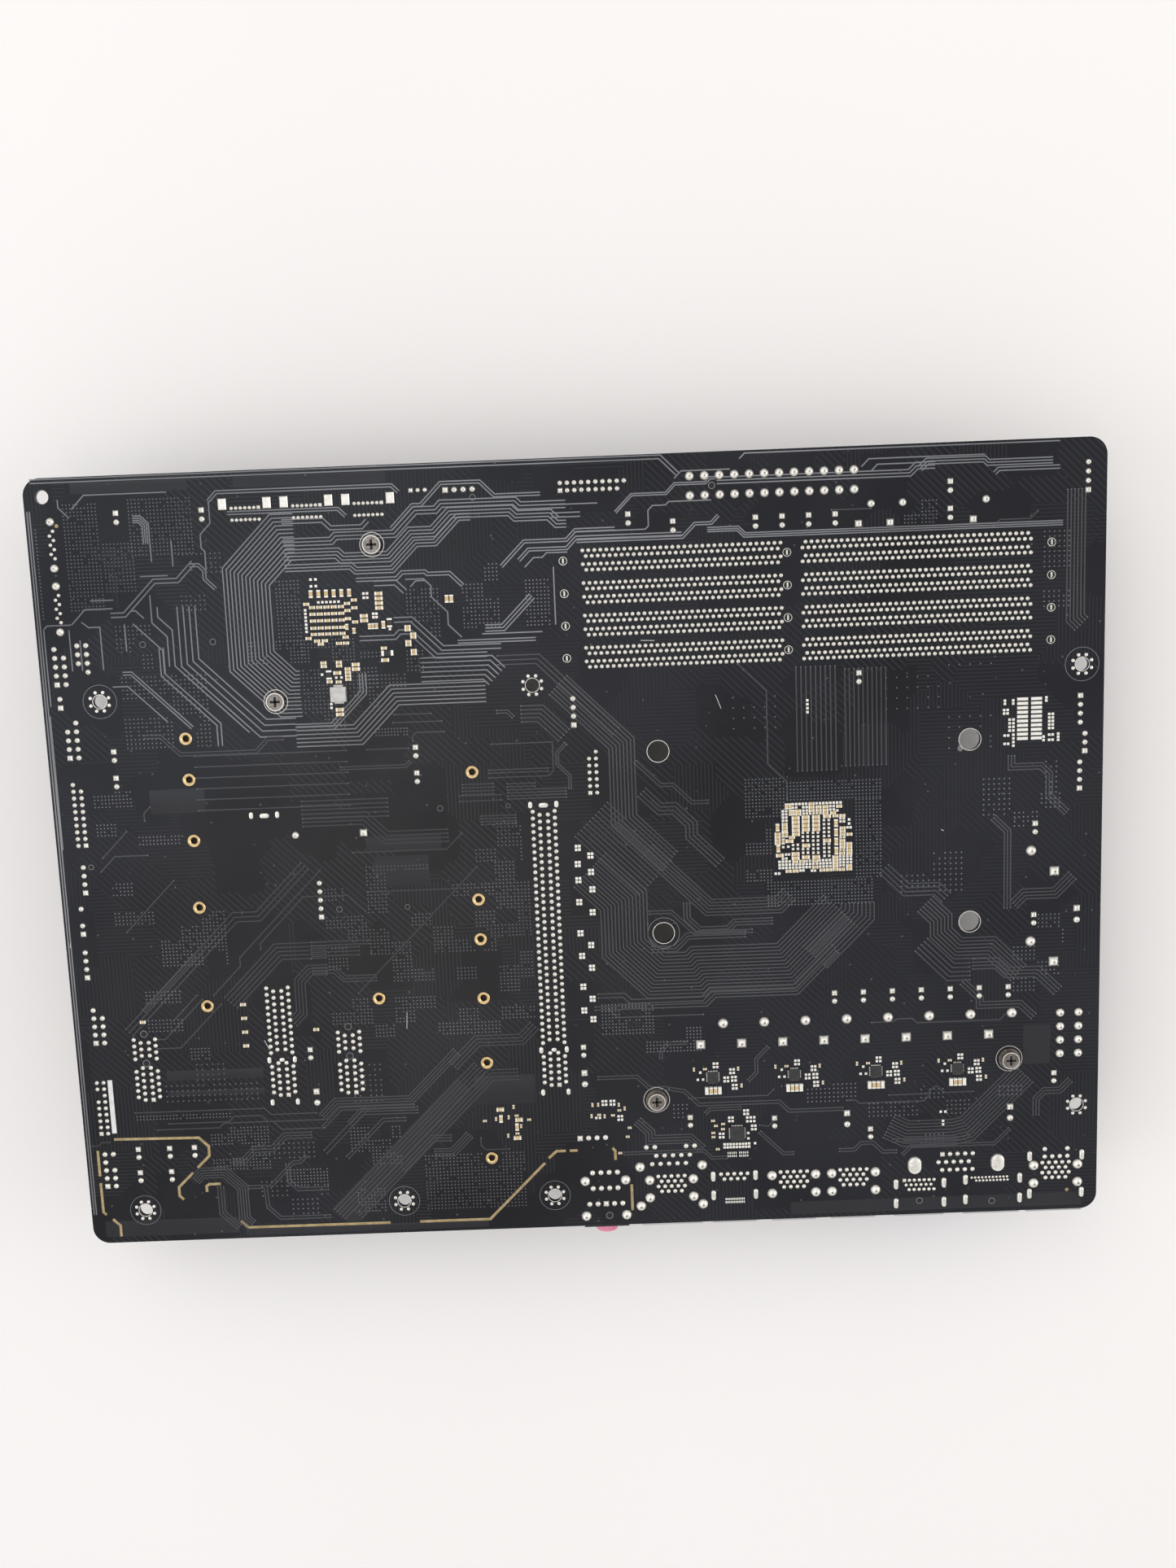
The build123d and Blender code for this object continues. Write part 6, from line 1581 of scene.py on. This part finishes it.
def make_cans():
    """Capacitor cans with a rolled edge, a cross in the lid and a dark mark."""
    metal, marks = Shape(), Shape()
    for low, high in solids("capacitor_cans"):
        x, y = centre(low, high)
        radius = (high[0] - low[0]) / 2
        height = high[2] - low[2]
        profile = [(share * radius, rise) for share, rise in CAN_FOOT]
        profile += [(share * radius, height - drop) for share, drop in CAN_LID]
        lathe(metal, x, y, profile, ROUND_SIDES)
        arm = CAN_CROSS_SHARE * radius
        for size in ((CAN_CROSS_WIDTH, arm), (arm, CAN_CROSS_WIDTH)):
            block(marks, x, y, *size, CAN_CROSS_HEIGHT, 0.0, height - CAN_CROSS_DROP)
        badge = [(CAN_BADGE_SHARE * radius, height - drop) for drop in CAN_BADGE_DROPS]
        lathe(marks, x + CAN_BADGE_PLACE * radius, y, badge, CAN_BADGE_SIDES)
    make(metal, "can_shells", CAN, under=True, replaced=["capacitor_cans"])
    make(marks, "can_marks", CAN_MARK, under=True)


def make_socket_holes():
    """Dark discs of painted shade at the mouths of the pin holes in the socket's cover, round its window."""
    mouths = Shape()
    low, high = solids("cpu_socket_cover")[0]
    height = -low[2] - (TOP - UNDER) / MM
    middle_x = sum(x for x, y in COOLER_HOLES) / len(COOLER_HOLES)
    middle_y = sum(y for x, y in COOLER_HOLES) / len(COOLER_HOLES)
    first = -(SOCKET_PLACES - 1) / 2 * SOCKET_PITCH
    for along, across in grid(first, first, SOCKET_PLACES, SOCKET_PLACES, SOCKET_PITCH, SOCKET_PITCH):
        if max(abs(along), abs(across)) > SOCKET_EMPTY:
            # Each mouth is a dark disc of painted shade
            mouth = [(SOCKET_HOLE, height + level) for level in SOCKET_HOLE_SPAN]
            lathe(mouths, middle_x + along, middle_y + across, mouth, SOCKET_HOLE_SIDES)
    make(mouths, "socket_pin_hole_shade", SHADE_AND_RING_DARK, body="socket_cover", under=True)


def make_stage():
    """Pale floor."""
    bpy.ops.mesh.primitive_plane_add(size=FLOOR_SIZE, location=(0.0, 0.0, 0.0))
    floor = bpy.context.object
    floor.name = "floor"
    material, shader, nodes, links = new_material("pale_floor")
    drift = noise(nodes, links, *FLOOR_DRIFT)
    colour = ramp(nodes, links, drift.outputs["Fac"], *NOISE_SPAN, *FLOOR_COLOURS)
    links.new(colour, shader.inputs["Base Color"])
    shader.inputs["Roughness"].default_value = FLOOR_ROUGHNESS
    grain = noise(nodes, links, *FLOOR_GRAIN)
    bump(nodes, links, grain.outputs["Fac"], shader, *FLOOR_RELIEF)
    floor.data.materials.append(material)


def make_light():
    """Soft studio light from the sides and pale walls, so that the board mirrors the dim ceiling."""
    world = bpy.data.worlds.new("studio")
    world.use_nodes = True
    nodes, links = world.node_tree.nodes, world.node_tree.links
    background = nodes["Background"]
    direction = nodes.new("ShaderNodeTexCoord")
    split = nodes.new("ShaderNodeSeparateXYZ")
    links.new(direction.outputs["Generated"], split.inputs["Vector"])
    room = ramp(nodes, links, split.outputs["Z"], WALL_TOP, CEILING_EDGE, WALLS, CEILING)
    links.new(room, background.inputs["Color"])
    background.inputs["Strength"].default_value = ROOM_STRENGTH
    bpy.context.scene.world = world
    for name, place, size, watts, colour in LIGHTS:
        light = bpy.data.lights.new(name, "AREA")
        light.size = size
        light.energy = watts
        light.color = colour
        lamp = bpy.data.objects.new(name, light)
        lamp.location = place
        lamp.rotation_euler = (Vector(LIGHT_AIM) - Vector(place)).to_track_quat("-Z", "Y").to_euler()
        bpy.context.scene.collection.objects.link(lamp)


def make_camera():
    """Camera at the photograph's place, with its lens from the long side of the image."""
    data = bpy.data.cameras.new("camera")
    data.sensor_width = SENSOR
    data.lens = FOCAL_PIXELS / IMAGE_HEIGHT * SENSOR
    data.clip_start = CLIP_START
    camera = bpy.data.objects.new("camera", data)
    camera.location = Vector(CAMERA_PLACE) * MM + Vector((MIDDLE.x, MIDDLE.y, TOP))
    camera.rotation_euler = Euler([math.radians(angle) for angle in CAMERA_TURN])
    bpy.context.scene.collection.objects.link(camera)
    bpy.context.scene.camera = camera


def main():
    """Build everything in order."""
    bpy.context.scene.view_settings.view_transform = "Standard"
    make_camera()
    make_stage()
    make_light()
    dress_nodes()
    make_memory_joints()
    make_pin_joints()
    make_power_joints()
    make_tab_joints()
    make_hole_rings()
    make_posts()
    make_copper()
    make_bare_lines()
    make_small_parts()
    make_chip_leads()
    make_marks()
    make_under_pins()
    make_cans()
    make_socket_holes()


main()
